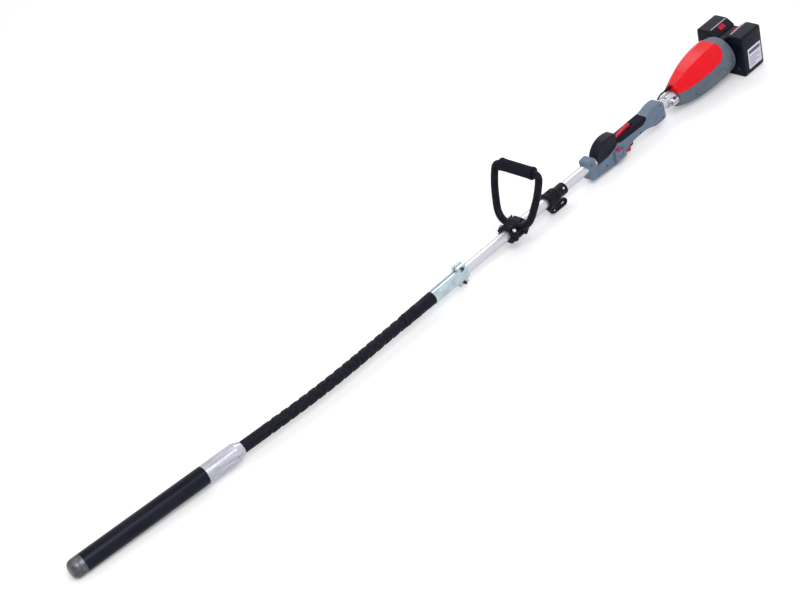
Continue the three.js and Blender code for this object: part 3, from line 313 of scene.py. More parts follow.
def finish(name, axes, base, second, gloss, patch=60, grain=(900, 0.0001), bare=None,
           amount=0.5, stretch=(1, 1, 1), **shader_values):
    # a material in the axes of its half of the tool; stretch draws the pattern out
    material = bpy.data.materials.new(name)
    material.use_nodes = True
    tree = material.node_tree
    vector = node_in(tree, "Mapping", {
        "Vector": node_in(tree, "TexCoord", {})["Object"], "Location": axes.translation,
        "Rotation": axes.to_euler(), "Scale": stretch,
    }, vector_type="TEXTURE")["Vector"]
    tones = node_in(tree, "Group", {
        "Vector": vector, "Base": (*base, 1), "Second": (*second, 1), "Scale": patch,
        "Smooth": gloss[0], "Rough": gloss[1],
    }, node_tree=tone)
    colour = tones["Color"]
    if bare:
        colour = node_in(tree, "Group", {
            "Vector": vector, "Base": colour, "Bare": (*bare, 1), "Amount": amount,
        }, node_tree=wear)["Color"]
    bumps = node_in(tree, "Group", {
        "Vector": vector, "Scale": grain[0], "Depth": grain[1],
    }, node_tree=relief)
    shader = tree.nodes["Principled BSDF"]
    tree.links.new(colour, shader.inputs["Base Color"])
    tree.links.new(tones["Roughness"], shader.inputs["Roughness"])
    tree.links.new(bumps["Normal"], shader.inputs["Normal"])
    for socket, value in shader_values.items():
        shader.inputs[socket.replace("_", " ")].default_value = value
    return material


cap_steel = finish(
    "cap_steel", head, (0.055, 0.058, 0.072), (0.15, 0.15, 0.17), (0.25, 0.45),
    patch=90, grain=(700, 0.0002), bare=(0.45, 0.45, 0.47), amount=0.8, Metallic=0.85,
)
tip, cap_end = extent("poker_end_cap", head)
tube_front, tube_rear = extent("poker_tube", head)
poker_radius = (tube_rear.y - tube_front.y) / 2
DOME = 15.0
BAND = 13.0
SEAT = 0.3


def cap_profile():
    profile = [(tip.x, 0), (tip.x, 9)]
    for i in range(1, 13):
        angle = i / 12 * math.pi / 2
        x = tip.x + DOME * (1 - math.cos(angle))
        radius = 10 + (poker_radius - 10) * math.sin(angle)
        profile += [(x, radius - (0.25 if i % 3 == 0 else 0))]
    band = tube_front.x - BAND
    profile += [(band - 0.8, poker_radius), (band, poker_radius - 0.5)]
    profile += [(band + 0.8, poker_radius), (tube_front.x - 1, poker_radius)]
    profile += [(tube_front.x - SEAT, poker_radius - 0.6), (tube_front.x - SEAT, 19.6)]
    return profile + [(cap_end.x, 19.6), (cap_end.x, 0)]


finished(
    "poker_nose", turned(cap_profile(), 96), head, cap_steel, ["poker_end_cap"]
)

# ---------------------------------------------------------------- poker tube
# A thick steel tube round the spinning weight. It is blackened all over, and dragged
# through wet concrete it picks up long fine scratches.
black_steel = finish(
    "black_steel", head, (0.003, 0.0036, 0.0095), (0.008, 0.0095, 0.02), (0.2, 0.38),
    patch=40, grain=(500, 0.00012), bare=(0.16, 0.17, 0.2), amount=0.8, stretch=(4, 1, 1),
    Metallic=0.1, Specular_IOR_Level=0.14,
)
TUBE_BORE = 20.0
CHAMFER = 0.6
finished(
    "poker_barrel",
    turned([
        (tube_front.x, TUBE_BORE),
        (tube_front.x, poker_radius - CHAMFER),
        (tube_front.x + CHAMFER, poker_radius),
        (tube_rear.x - CHAMFER, poker_radius),
        (tube_rear.x, poker_radius - CHAMFER),
        (tube_rear.x, TUBE_BORE),
        (tube_front.x, TUBE_BORE),
    ], 96),
    head, black_steel, ["poker_tube"],
)

# ---------------------------------------------------------------- poker collar
# A bright machined steel coupling with a long tapered end and two flats for a wrench.
# The lathe's marks run round it; handling has drawn streaks along it.
bright_steel = finish(
    "bright_steel", head, (0.36, 0.36, 0.43), (0.62, 0.62, 0.69), (0.18, 0.36),
    patch=160, grain=(420, 0.0001), bare=(0.9, 0.9, 0.92), amount=0.6,
    stretch=(9, 1, 1), Metallic=0.8,
)
_, collar_high = extent("poker_collar", head)
FLAT_REACH = poker_radius - 1.6
TAPER = 18.0


def collar_shape():
    front = tube_rear.x + SEAT
    rear = collar_high.x
    flat_from, flat_to = front + 11, rear - TAPER - 5
    shape = turned([
        (front, 9),
        (front, poker_radius - CHAMFER),
        (front + CHAMFER, poker_radius),
        (front + 5, poker_radius),
        (front + 5.4, poker_radius - 0.35),
        (front + 6.2, poker_radius - 0.35),
        (front + 6.6, poker_radius),
        (flat_from, poker_radius),
        (flat_from + 0.4, poker_radius),
        (flat_to - 0.4, poker_radius),
        (flat_to, poker_radius),
        (rear - TAPER, poker_radius),
        (rear - TAPER * 0.5, poker_radius - 2.9),
        (rear - 1, 16.4),
        (rear, 15.6),
        (rear, 14.8),
        (rear - 30, 14.8),
        (rear - 30, 9),
        (front, 9),
    ], 120)
    for vertex in shape.verts:
        if flat_from + 0.2 < vertex.co.x < flat_to - 0.2 and abs(vertex.co.y) > FLAT_REACH:
            vertex.co.y = math.copysign(FLAT_REACH, vertex.co.y)
    return shape


finished(
    "wrench_collar", collar_shape(), head, bright_steel, ["poker_collar"],
    crease=14,
)

# ---------------------------------------------------------------- wrapped hose
# A rubber hose round the flexible drive core, wrapped over most of its length with a
# wide rubber strip laid on in turns that overlap. It bends all along, so one skin
# crosses the joint.
rubber, rubber_rear = (
    finish(name, axes, (0.003, 0.0034, 0.008), (0.011, 0.012, 0.021), (0.34, 0.6),
           patch=120, grain=(1500, 0.0002), Specular_IOR_Level=0.1)
    for name, axes in (("rubber", head), ("rubber_rear", tool))
)
hose_front, _ = extent("lower_hose", head)
_, hose_rear = extent("upper_hose", tool)
wrap_start, wrap_end = collar_high.x + 71, extent("hose_sleeve", tool)[0].x - SEAT
BEND = 110.0
PITCH = 27.2
WRAP_LOW = 13.3
WRAP_RISE = 1.6
WRAP_STEP = 1.45
BARE_RADIUS = 14.5
BARE_STEP = 6
HOSE_BORE = 6.6
HOSE_SKIN = 13.0
HOSE_STEPS = 48
hose_bends = (head @ Vector((-BEND * MM, 0, 0)), tool @ Vector((BEND * MM, 0, 0)))


def hose_place(s):
    # a point of the hose's middle line, with the directions along and across it
    if s <= -BEND or s >= BEND:
        axes = head if s < 0 else tool
        turn = axes.to_3x3()
        return axes @ Vector((s * MM, 0, 0)), turn.col[0], turn.col[1], turn.col[2]
    t = (s + BEND) / (2 * BEND)
    start, corner, end = hose_bends[0], tool.translation, hose_bends[1]
    place = start * (1 - t) ** 2 + corner * (2 * t * (1 - t)) + end * t ** 2
    along = ((corner - start) * (1 - t) + (end - corner) * t).normalized()
    across = Vector((0, 0, 1)).cross(along).normalized()
    return place, along, across, along.cross(across)


def wrap_height(s, angle):
    # each turn of the strip stands up at its front edge and tucks under the next
    turns = (s - wrap_start) / PITCH
    phase = (turns + angle / (2 * math.pi)) % 1.0
    index = math.floor(turns + angle / (2 * math.pi))
    wobble = 0.25 * noise.noise(Vector((index * 3.1, s * 0.05, math.cos(angle))))
    rise = min(phase / 0.05, 1.0)
    fall = 1 - 0.28 * phase if phase < 0.66 else max(0.1, 0.8 - (phase - 0.66) / 0.07)
    return WRAP_LOW + (WRAP_RISE + wobble) * rise * fall


def hose_shape():
    # rings close enough for the wraps outside, and fewer of them down the bore
    front = hose_front.x
    bare = [front + BARE_STEP * i for i in range(1, 17)]
    stations = [front, front + 0.01] + [s for s in bare if s < wrap_start - 4]
    count = int((wrap_end - wrap_start) / WRAP_STEP)
    first, length = wrap_start - 3, wrap_end - wrap_start + 3
    stations += [first + length * i / count for i in range(count + 1)]
    stations += [wrap_end + 1, (wrap_end + hose_rear.x) / 2, hose_rear.x]
    profile = [(front, HOSE_BORE)] + [(s, HOSE_SKIN) for s in stations[1:]]
    profile += [(s, HOSE_BORE) for s in stations[:2:-8]] + [(front, HOSE_BORE)]
    shape = turned(profile, HOSE_STEPS)
    for vertex in shape.verts:
        s, radius = vertex.co.x, math.hypot(vertex.co.y, vertex.co.z)
        angle = math.atan2(vertex.co.z, vertex.co.y)
        if radius > HOSE_BORE + 1:
            if s < wrap_start:
                ripple = noise.noise(Vector((s * 0.08, math.cos(angle), 4)))
                radius = BARE_RADIUS + 0.12 * ripple
            elif s <= wrap_end:
                radius = wrap_height(s, angle)
        place, along, across, up = hose_place(s)
        vertex.co = place + (across * math.cos(angle) + up * math.sin(angle)) * radius * MM
    return shape


hose = finished(
    "wrapped_hose", hose_shape(), Matrix.Scale(1 / MM, 4), rubber,
    ["lower_hose", "upper_hose"], body="none", crease=50,
)
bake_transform(hose)

# ---------------------------------------------------------------- hose sleeve
# A rubber sleeve moulded over the end of the hose, with low rings where it grips and a
# soft bulge before the metal coupling.
sleeve_low, sleeve_high = extent("hose_sleeve", tool)


def sleeve_shape():
    front, rear = sleeve_low.x, sleeve_high.x
    steps = [(0, 14.2), (0.8, 15), (9, 15.3), (10, 15.9), (14, 15.9), (15, 15.2), (38, 15.3)]
    steps += [(40, 15.8), (52, 15.9), (54, 15.4), (78, 15.5), (82, 16), (96, 16)]
    profile = [(front + x, radius) for x, radius in steps]
    profile += [(rear - 1, 15.9), (rear, 15.2), (rear, 13.4), (front, 13.4), (front, 14.2)]
    return turned(profile, 64)


finished("grip_sleeve", sleeve_shape(), tool, rubber_rear, ["hose_sleeve"])

# ---------------------------------------------------------------- clamp coupling
# A zinc-plated steel body in two halves, closed on the hose and the pole by a socket
# screw above and below. The plating is bluish and cloudy.
zinc = finish(
    "zinc", tool, (0.40, 0.50, 0.57), (0.56, 0.66, 0.72), (0.16, 0.34),
    patch=70, grain=(500, 0.00008), bare=(0.86, 0.92, 0.95), amount=0.6,
    stretch=(3, 1, 1), Metallic=0.85,
)


def box(x0, x1, y0, y1, z0, z1, bevel=0.0, segments=3):
    shape = bmesh.new()
    bmesh.ops.create_cube(shape, size=1)
    bmesh.ops.scale(shape, vec=(x1 - x0, y1 - y0, z1 - z0), verts=shape.verts)
    middle = ((x0 + x1) / 2, (y0 + y1) / 2, (z0 + z1) / 2)
    bmesh.ops.translate(shape, vec=middle, verts=shape.verts)
    if bevel:
        bmesh.ops.bevel(
            shape, geom=shape.edges, affect="EDGES", offset=bevel, segments=segments,
            profile=0.5, material=-1, clamp_overlap=True,
        )
    return shape


def rod(start, end, radius, steps=40):
    # a plain round between two points, for bores and shanks
    a, b = Vector(start), Vector(end)
    along = b - a
    shape = bmesh.new()
    turn = along.to_track_quat("Z", "Y").to_matrix().to_4x4()
    bmesh.ops.create_cone(
        shape, cap_ends=True, segments=steps, radius1=radius, radius2=radius,
        depth=along.length, matrix=Matrix.Translation((a + b) / 2) @ turn,
    )
    return shape


def placed(shape, place, degrees=0, axis="Z"):
    # a shape turned about an axis of its own, then moved to its place
    turn = Matrix.Rotation(math.radians(degrees), 4, axis)
    shape.transform(Matrix.Translation(place) @ turn)
    return shape


def both_sides(x, z, reach, radius, steps=24):
    # a round right across the tool, for a pin or a screw
    return rod((x, -reach, z), (x, reach, z), radius, steps)


def combined(body, tools, operation="DIFFERENCE"):
    # one closed shape less other shapes, joined with them, or kept where they are
    holders = []
    for shape in (body, *tools):
        mesh = bpy.data.meshes.new("shape")
        shape.to_mesh(mesh)
        shape.free()
        holders.append(in_scene(bpy.data.objects.new("shape", mesh)))
    for holder in holders[1:]:
        modifier = holders[0].modifiers.new("shape", "BOOLEAN")
        modifier.object = holder
        modifier.operation = operation
        modifier.solver = "EXACT"
    graph = bpy.context.evaluated_depsgraph_get()
    whole = holders[0].evaluated_get(graph)
    result = bmesh.new()
    result.from_mesh(whole.to_mesh())
    whole.to_mesh_clear()
    for holder in holders:
        mesh = holder.data
        bpy.data.objects.remove(holder)
        bpy.data.meshes.remove(mesh)
    bmesh.ops.remove_doubles(result, verts=result.verts, dist=0.002)
    return result


def socket_screw(length, shank, reach, height):
    # a cap screw along +X, its seat at the origin, with a hexagon socket in its head
    screw = turned([
        (-length, 0), (-length, shank), (0, shank), (0, reach), (height - 0.5, reach),
        (height, reach - 0.5), (height, 0),
    ], 32)
    hexagon = rod((height - 2.2, 0, 0), (height + 1, 0, 0), reach * 0.55, 6)
    return combined(screw, [hexagon])


coupling_low = extent("coupling_right_half", tool)[0]
coupling_high = extent("coupling_left_half", tool)[1]
screw_box = extent("coupling_screw_top", tool)
COUPLING_EAR = 30.0
HALF_GAP = 1.5


def coupling_half(side):
    front, rear = coupling_low.x, coupling_high.x
    ear_top = coupling_high.z
    body = turned([
        (front, 0), (front, 16.2), (front + 0.8, 17), (front + 50.6, 17), (front + 51, 16.5),
        (front + 52.4, 16.5), (front + 52.8, 17), (rear - 37, 17), (rear - 31, 17.7),
        (rear - 25, 18.5), (rear - 1, 18.5), (rear, 17.6), (rear, 0),
    ], 96)
    ears = box(rear - COUPLING_EAR, rear, -10, 10, -ear_top, ear_top, 2.2)
    boss = turned([(0, 0), (0, 2.6), (1.2, 2.6), (1.9, 1.8), (1.9, 0)], 24)
    boss.transform(
        Matrix.Translation((front + 20, -11.5, 12)) @ Matrix.Rotation(math.radians(135), 4, "X")
        @ Matrix.Rotation(math.radians(-90), 4, "Y")
    )
    whole = combined(body, [ears, boss], "UNION")
    middle = (screw_box[0].x + screw_box[1].x) / 2
    screw_z = (screw_box[0].z + screw_box[1].z) / 2
    cuts = [
        rod((front - 2, 0, 0), (rear + 2, 0, 0), 13.3, 72),
        both_sides(middle, screw_z, 20, 2.9),
        both_sides(middle, -screw_z, 20, 2.9),
        box(rear - 31, rear - 28.6, -30, -8.5, 19, 40),
        box(rear - 31, rear - 28.6, -30, -8.5, -40, -19),
        box(front + 58, front + 68, -20, -15.2, 1, 4.4, 0.6),
        box(front - 9, rear + 9, -HALF_GAP, 60, -60, 60) if side < 0
        else box(front - 9, rear + 9, -60, HALF_GAP, -60, 60),
    ]
    return combined(whole, cuts)


for side, name in ((1, "left"), (-1, "right")):
    finished(
        f"coupling_shell_{name}", coupling_half(side), tool, zinc,
        [f"coupling_{name}_half"],
    )
dark_steel = finish(
    "dark_steel", tool, (0.028, 0.03, 0.036), (0.075, 0.075, 0.085), (0.28, 0.5),
    patch=200, grain=(900, 0.0001), bare=(0.4, 0.4, 0.42), amount=0.7, Metallic=0.8,
)
for level_name in ("top", "bottom"):
    low, high = extent(f"coupling_screw_{level_name}", tool)
    seat = ((low.x + high.x) / 2, -10.3, (low.z + high.z) / 2)
    screw = placed(socket_screw(24, 2.5, 4.2, 5), seat, -90)
    finished(
        f"clamp_screw_{level_name}", screw, tool, dark_steel,
        [f"coupling_screw_{level_name}"],
    )

# ---------------------------------------------------------------- pole
# Two lengths of drawn aluminium tube, anodised silver, with chamfered ends. The drawing
# leaves faint streaks along them.
aluminium = finish(
    "aluminium", tool, (0.58, 0.58, 0.64), (0.66, 0.66, 0.72), (0.22, 0.34),
    patch=90, grain=(500, 0.00001), stretch=(30, 1, 1), Metallic=0.75,
)
for name in ("front_pole", "rear_pole"):
    low, high = extent(name, tool)
    radius = high.z
    finished(
        f"{name}_tube",
        turned([
            (low.x, 11.5), (low.x, radius - 0.4), (low.x + 0.4, radius),
            (high.x - 0.4, radius), (high.x, radius - 0.4), (high.x, 11.5), (low.x, 11.5),
        ], 72),
        tool, aluminium, [name],
    )
# ---------------------------------------------------------------- quick-release joint
# A black glass-filled barrel that joins the two lengths of pole. Its front half is
# fluted for grip, a flat lever under it clamps the front pole, and a sprung pin in the
# collar locks it.
black_plastic = finish(
    "black_plastic", tool, (0.0035, 0.0038, 0.008), (0.0085, 0.0092, 0.016), (0.3, 0.46),
    patch=70, grain=(1700, 0.00015), bare=(0.03, 0.034, 0.05), amount=0.5,
    Specular_IOR_Level=0.09,
)


def slab(outline, y0, y1, bevel=0.0, segments=3, windows=()):
    # a side outline of (x, z) points with windows in it, its two rims rounded
    shape = bmesh.new()
    for loop in (outline, *windows):
        corners = [shape.verts.new((x, y0, z)) for x, z in loop]
        for pair in zip(corners, corners[1:] + corners[:1]):
            shape.edges.new(pair)
    if windows:
        bmesh.ops.triangle_fill(shape, edges=shape.edges, use_beauty=True)
    else:
        shape.faces.new(shape.verts)
    extruded = bmesh.ops.extrude_face_region(shape, geom=shape.faces[:])
    moved = [item for item in extruded["geom"] if isinstance(item, bmesh.types.BMVert)]
    bmesh.ops.translate(shape, vec=(0, y1 - y0, 0), verts=moved)
    bmesh.ops.recalc_face_normals(shape, faces=shape.faces)
    if bevel:
        rims = [
            edge for edge in shape.edges
            if abs(edge.verts[0].co.y - edge.verts[1].co.y) < 0.001
            and edge.calc_face_angle(0) > 1
        ]
        bmesh.ops.bevel(
            shape, geom=rims, affect="EDGES", offset=bevel, segments=segments,
            profile=0.5, material=-1, clamp_overlap=True,
        )
    return shape


def prism(outline, x0, x1, bevel=0.0, segments=3):
    # an end outline of (y, z) points, as long as x0 to x1
    shape = slab(outline, x0, x1, bevel, segments)
    for vertex in shape.verts:
        vertex.co.x, vertex.co.y = vertex.co.y, vertex.co.x
    bmesh.ops.recalc_face_normals(shape, faces=shape.faces)
    return shape


def rounded(outline, radius, steps=4):
    # an outline with each corner drawn round, as far as its sides allow
    result = []
    for i, (x, z) in enumerate(outline):
        corner = Vector((x, z))
        before = Vector(outline[i - 1]) - corner
        after = Vector(outline[(i + 1) % len(outline)]) - corner
        reach = min(radius, before.length * 0.45, after.length * 0.45)
        start = corner + before.normalized() * reach
        end = corner + after.normalized() * reach
        for k in range(steps + 1):
            t = k / steps
            point = start * (1 - t) ** 2 + corner * (2 * t * (1 - t)) + end * t ** 2
            result.append((point.x, point.y))
    return result


joint_low, joint_high = extent("pole_joint", tool)
lever_low, lever_high = extent("clamp_lever", tool)
lever_pin_low, lever_pin_high = extent("lever_pin", tool)
lever_pin_x = (lever_pin_low.x + lever_pin_high.x) / 2
lever_pin_z = (lever_pin_low.z + lever_pin_high.z) / 2
POLE_FIT = 13.3
FLUTES = 20
FLUTE_FLOOR = 0.955  # of the radius


def barrel_shape():
    front, rear = joint_low.x, joint_high.x
    shape = turned([
        (front, 0), (front, 20.6), (front + 1.4, 22), (front + 6.6, 22), (front + 8, 20.4),
        (front + 9, 20), (front + 9.5, 20), (front + 34, 20), (front + 34.5, 20),
        (front + 38, 20), (front + 46, 16.3), (front + 48, 16), (rear - 1.2, 16),
        (rear, 15), (rear, 0),
    ], FLUTES * 6)
    for vertex in shape.verts:
        angle = math.atan2(vertex.co.z, vertex.co.y) % (2 * math.pi)
        column = round(angle / (2 * math.pi) * FLUTES * 6) % 6
        if front + 9.2 < vertex.co.x < front + 34.2 and column in (0, 1, 5):
            vertex.co.y *= FLUTE_FLOOR
            vertex.co.z *= FLUTE_FLOOR
    cheek = 4.8
    lug = slab(rounded([
        (lever_pin_x - 14, -12), (lever_pin_x + 10, -12), (lever_pin_x + 7, lever_pin_z - 4),
        (lever_pin_x + 3, lever_pin_z - 7), (lever_pin_x - 5, lever_pin_z - 7),
        (lever_pin_x - 14, -22),
    ], 4), -cheek - 4, cheek + 4, 0.9)
    boss = turned([(0, 0), (0, 6), (3.2, 5.4), (3.2, 0)], 32)
    pin_side = Matrix.Rotation(math.atan2(24, -30), 4, "X") @ Matrix.Rotation(
        math.radians(90), 4, "Z")
    boss.transform(Matrix.Translation((rear - 13, 0, 0)) @ pin_side
                   @ Matrix.Translation((13.9, 0, 0)))
    whole = combined(shape, [lug, boss], "UNION")
    outward = Vector((0, -30, 24)).normalized()
    button = Vector((rear - 13, 0, 0))
    return combined(whole, [
        rod((front - 2, 0, 0), (rear + 2, 0, 0), POLE_FIT, 72),
        box(lever_pin_x - 30, lever_pin_x + 30, -cheek, cheek, lever_pin_z - 20, -21),
        both_sides(lever_pin_x, lever_pin_z, 20, 2.6, 32),
        rod(button, button + outward * 40, 3.3, 32),
        rod((front + 20, 0, 17.5), (front + 20, 0, 30), 3, 32),
        box(front + 40, front + 44, 9, 25, -2, 2, 0.5),
    ])


finished("joint_barrel", barrel_shape(), tool, black_plastic, ["pole_joint"])


def lever_shape():
    top, bottom, end = lever_high.z, lever_low.z, lever_high.x
    start = lever_low.x
    middle, half = (top + bottom) / 2, (top - bottom) / 2
    outline = [(start + 4, top - 2), (start, middle + 4), (start + 2, middle - 4),
               (start + 14, bottom)]
    for i in range(17):
        angle = -math.pi / 2 + i / 16 * math.pi
        outline.append((end - half + half * math.cos(angle), middle + half * math.sin(angle)))
    window = rounded([(end - 24, middle - 4), (end - 6, middle - 5), (end - 5, middle + 5),
                      (end - 24, middle + 4)], 4)
    thick = lever_high.y
    shape = slab(outline, -thick, thick, 1.6, 3, [window])
    return combined(shape, [
        both_sides(lever_pin_x, lever_pin_z, 20, 2.6, 32),
        box(start + 22, end - 29, thick - 1, thick + 3, middle - 3, middle + 3, 0.8),
        box(start + 22, end - 29, -thick - 3, -thick + 1, middle - 3, middle + 3, 0.8),
    ])


finished("joint_lever", lever_shape(), tool, black_plastic, ["clamp_lever"])
pin_steel = finish(
    "pin_steel", tool, (0.5, 0.5, 0.55), (0.75, 0.75, 0.8), (0.2, 0.38), patch=240,
    grain=(900, 0.0001), bare=(0.9, 0.9, 0.92), amount=0.5, Metallic=0.8,
)
pin = turned([
    (lever_pin_low.y, 0), (lever_pin_low.y, 1.8), (lever_pin_low.y + 0.7, 2.5),
    (lever_pin_high.y - 0.7, 2.5), (lever_pin_high.y, 1.8), (lever_pin_high.y, 0),
], 32)
placed(pin, (lever_pin_x, 0, lever_pin_z), 90)
finished("lever_rivet", pin, tool, pin_steel, ["lever_pin"])

# ---------------------------------------------------------------- loop handle
# A black hoop of coated tube that leans back over the pole, with a rubber grip across
# its top. Its root is a clamp of two blocks, drawn together by two screws and two wings.
def curve_point(points, t):
    # a point of a Bezier curve of any order
    level = [Vector(p) for p in points]
    while len(level) > 1:
        level = [a.lerp(b, t) for a, b in zip(level, level[1:])]
    return level[0]


def swept(points, radius, steps=24):
    # a round bar along points that curve gently, its rings squared to the path
    shape = bmesh.new()
    bmesh.ops.create_circle(shape, cap_ends=True, segments=steps, radius=radius)
    ring = shape.verts[:]
    home = [vertex.co.copy() for vertex in ring]
    side = None
    for i, point in enumerate(points):
        ahead = points[min(i + 1, len(points) - 1)] - points[max(i - 1, 0)]
        ahead.normalize()
        side = (side or ahead.orthogonal())
        side = (side - ahead * side.dot(ahead)).normalized()
        up = ahead.cross(side)
        if i:
            edges = [e for e in shape.edges if e.verts[0] in ring and e.verts[1] in ring]
            made = bmesh.ops.extrude_edge_only(shape, edges=edges)
            fresh = [v for v in made["geom"] if isinstance(v, bmesh.types.BMVert)]
            order = {}
            for vertex in fresh:
                near = min(range(len(ring)), key=lambda k: (ring[k].co - vertex.co).length)
                order[near] = vertex
            ring = [order[k] for k in range(len(home))]
        for vertex, flat in zip(ring, home):
            vertex.co = point + side * flat.x + up * flat.y
    shape.faces.new(ring)
    bmesh.ops.recalc_face_normals(shape, faces=shape.faces)
    return shape


clamp_low, clamp_high = extent("loop_lower_clamp", tool)
grip_low, grip_high = extent("loop_grip", tool)
LEAN = math.radians(21)
LOOP_HIGH = 154.0
LOOP_WIDE = 69.0
TUBE = 9.3
CORNER = 17.0
loop_root = clamp_low.x + 26


def on_loop(y, up):
    return Vector((loop_root + up * math.sin(LEAN), y, up * math.cos(LEAN)))


def hoop_side(side):
    wide, high = LOOP_WIDE, LOOP_HIGH
    runs = [
        ([(0, 13), (wide * 0.42, 12), (wide * 0.7, 20), (wide * 0.82, 52)], 14),
        ([(wide * 0.82, 52), (wide * 0.9, 76), (wide, 96), (wide, high - CORNER)], 12),
        ([(wide, high - CORNER), (wide, high), (wide - CORNER, high)], 8),
        ([(wide - CORNER, high), (0, high)], 3),
    ]
    points = []
    for controls, steps in runs:
        for k in range(steps):
            y, up = curve_point(controls, k / steps)
            points.append(on_loop(side * y, up))
    return points


hoop_points = hoop_side(1) + [on_loop(0, LOOP_HIGH)] + hoop_side(-1)[::-1]
bolt_spread = 21.0
clamp_length = clamp_high.x - clamp_low.x
bolt_places = [(clamp_low.x + x, side * bolt_spread)
               for x in (10, clamp_length - 9) for side in (1, -1)]


def clamp_block(side):
    half, top = 27.0, 21.0
    outline = [(-half, 1 * side), (half, 1 * side), (half, 8 * side), (14, top * side),
               (-14, top * side), (-half, 8 * side)]
    block = prism(rounded(outline, 3, 3), clamp_low.x, clamp_high.x, 1.6)
    pads = [rod((x, y, side), (x, y, 12 * side), 6.6, 32) for x, y in bolt_places]
    ribs = [box(clamp_low.x + x, clamp_low.x + x + 3, -13.5, 13.5,
                min(side * 18, side * 22.4), max(side * 18, side * 22.4), 0.8)
            for x in (20, 27, 34)]
    return combined(block, pads + ribs, "UNION")


def clamp_cuts(side):
    ends = (clamp_low.x - 2, clamp_high.x + 2)
    cuts = [rod((ends[0], 0, 0), (ends[1], 0, 0), 15.1, 72)]
    cuts += [rod((x, y, -30), (x, y, 30), 2.8, 24) for x, y in bolt_places]
    return cuts + [rod((x, y, 12 * side), (x, y, 34 * side), 8, 32) for x, y in bolt_places]


def loop_frame_shape():
    hoop = swept(hoop_points, TUBE)
    below = box(loop_root - 90, loop_root + 90, -90, 90, -60, 1)
    whole = combined(clamp_block(1), [hoop], "UNION")
    return combined(whole, [below] + clamp_cuts(1))


finished("hoop_and_saddle", loop_frame_shape(), tool, black_plastic,
         ["loop_frame"])
finished("saddle_base", combined(clamp_block(-1), clamp_cuts(-1)), tool, black_plastic,
         ["loop_lower_clamp"])
soft_grip = finish(
    "soft_grip", tool, (0.005, 0.0055, 0.011), (0.014, 0.015, 0.025), (0.55, 0.8),
    patch=180, grain=(2600, 0.0004), Specular_IOR_Level=0.08,
)


def grip_shape():
    half = grip_high.y
    profile = [(-half, 9.5), (-half, 15), (-half + 1, 16.3), (-half + 4, 16.3),
               (-half + 5, 14.9), (-half + 7.5, 14.9), (-half + 8.5, 15.8),
               (-half + 10, 15.8), (-half + 11, 15.3), (-half + 11.2, 15.3)]
    profile += [(-x, radius) for x, radius in reversed(profile)]
    profile.append(profile[0])
    shape = turned(profile, 96)
    for vertex in shape.verts:
        angle = math.atan2(vertex.co.z, vertex.co.y)
        radius = math.hypot(vertex.co.y, vertex.co.z)
        column = round(angle / (2 * math.pi) * 96) % 4
        if abs(vertex.co.x) < half - 11.1 and radius > 14 and column == 0:
            vertex.co.y *= FLUTE_FLOOR
            vertex.co.z *= FLUTE_FLOOR
    return placed(shape, (grip_low + grip_high) / 2, 90)


finished("hoop_grip", grip_shape(), tool, soft_grip, ["loop_grip"], crease=28)
for (x, y), node in zip(bolt_places[:2], ("loop_bolt_left", "loop_bolt_right")):
    screw = socket_screw(29, 2.5, 4.6, 4.6)
    nut = rod((-29.6, 0, 0), (-24.9, 0, 0), 4.5, 6)
    screw = placed(combined(screw, [nut], "UNION"), (x, y, 12.3), -90, "Y")
    finished(f"saddle_screw_{node[10:]}", screw, tool, pin_steel, [node])

# ---------------------------------------------------------------- trigger handle
# A grey clamshell screwed round the pole, in two halves. A black half-round guard
# stands ahead of a soft black grip; the switch box on its side holds a red slide.
grey_plastic = finish(
    "grey_plastic", tool, (0.105, 0.150, 0.225), (0.135, 0.185, 0.265), (0.36, 0.5),
    patch=45, grain=(1500, 0.00018), bare=(0.3, 0.36, 0.44), amount=0.45,
    Specular_IOR_Level=0.35,
)
handle_low, handle_high = extent("handle_left_shell", tool)
switch_low, switch_high = extent("speed_switch", tool)
handle_length = handle_high.x - handle_low.x
HALF_SPLIT = 0.15  # from the middle plane to each moulded half
trigger_pin = (handle_low.x + 146, -23.0)


def hx(x):
    return handle_low.x + x


HANDLE_SIDE = [
    (9, -36), (42, -38), (106, -44), (124, -41), (142, -31), (184, -18),
    (handle_length - 87, -18), (handle_length - 69, -22), (handle_length - 45, -30),
    (handle_length - 18, -31), (handle_length, -28), (handle_length - 4, 19),
    (handle_length - 18, 27), (handle_length - 44, 27), (handle_length - 71, 20),
    (134, 19), (106, 4), (78, -6), (34, -5), (28, 25.4), (0, 22.5),
]
GRIP_SIDE = [
    (122, 11), (134, 8), (handle_length - 95, 4), (handle_length - 81, 12),
    (handle_length - 83, 60), (122, 60),
]


def handle_solid(round_by=5.0):
    side = rounded([(hx(x), z) for x, z in HANDLE_SIDE], 7, 3)
    return slab(side, -17, 17, round_by, 4)


def grip_zone(gap):
    side = [(hx(x) + (gap if x > 180 else -gap), z - gap) for x, z in GRIP_SIDE]
    return slab(rounded(side, 4, 3), -30, 30)


def dome_solid(gap=0.0, half=15.0, bevel=4.0):
    side = []
    for i in range(33):
        angle = math.pi - i / 32 * math.pi
        reach = 50 if angle > math.pi / 2 else 66
        side.append((hx(88) + (reach + gap) * math.cos(angle),
                     2 + (43 + gap) * math.sin(angle)))
    side += [(hx(132) + gap, 1), (hx(108), 2 - gap * 2), (hx(80), -5 - gap),
             (hx(38) - gap, -4)]
    return slab(side, -half - gap, half + gap, bevel, 4)


def pole_room():
    return rod((hx(-8), 0, 0), (hx(handle_length + 8), 0, 0), POLE_FIT, 72)


def lock_room():
    return box(hx(125), hx(199), -5.3, 5.3, 13.6, 60)


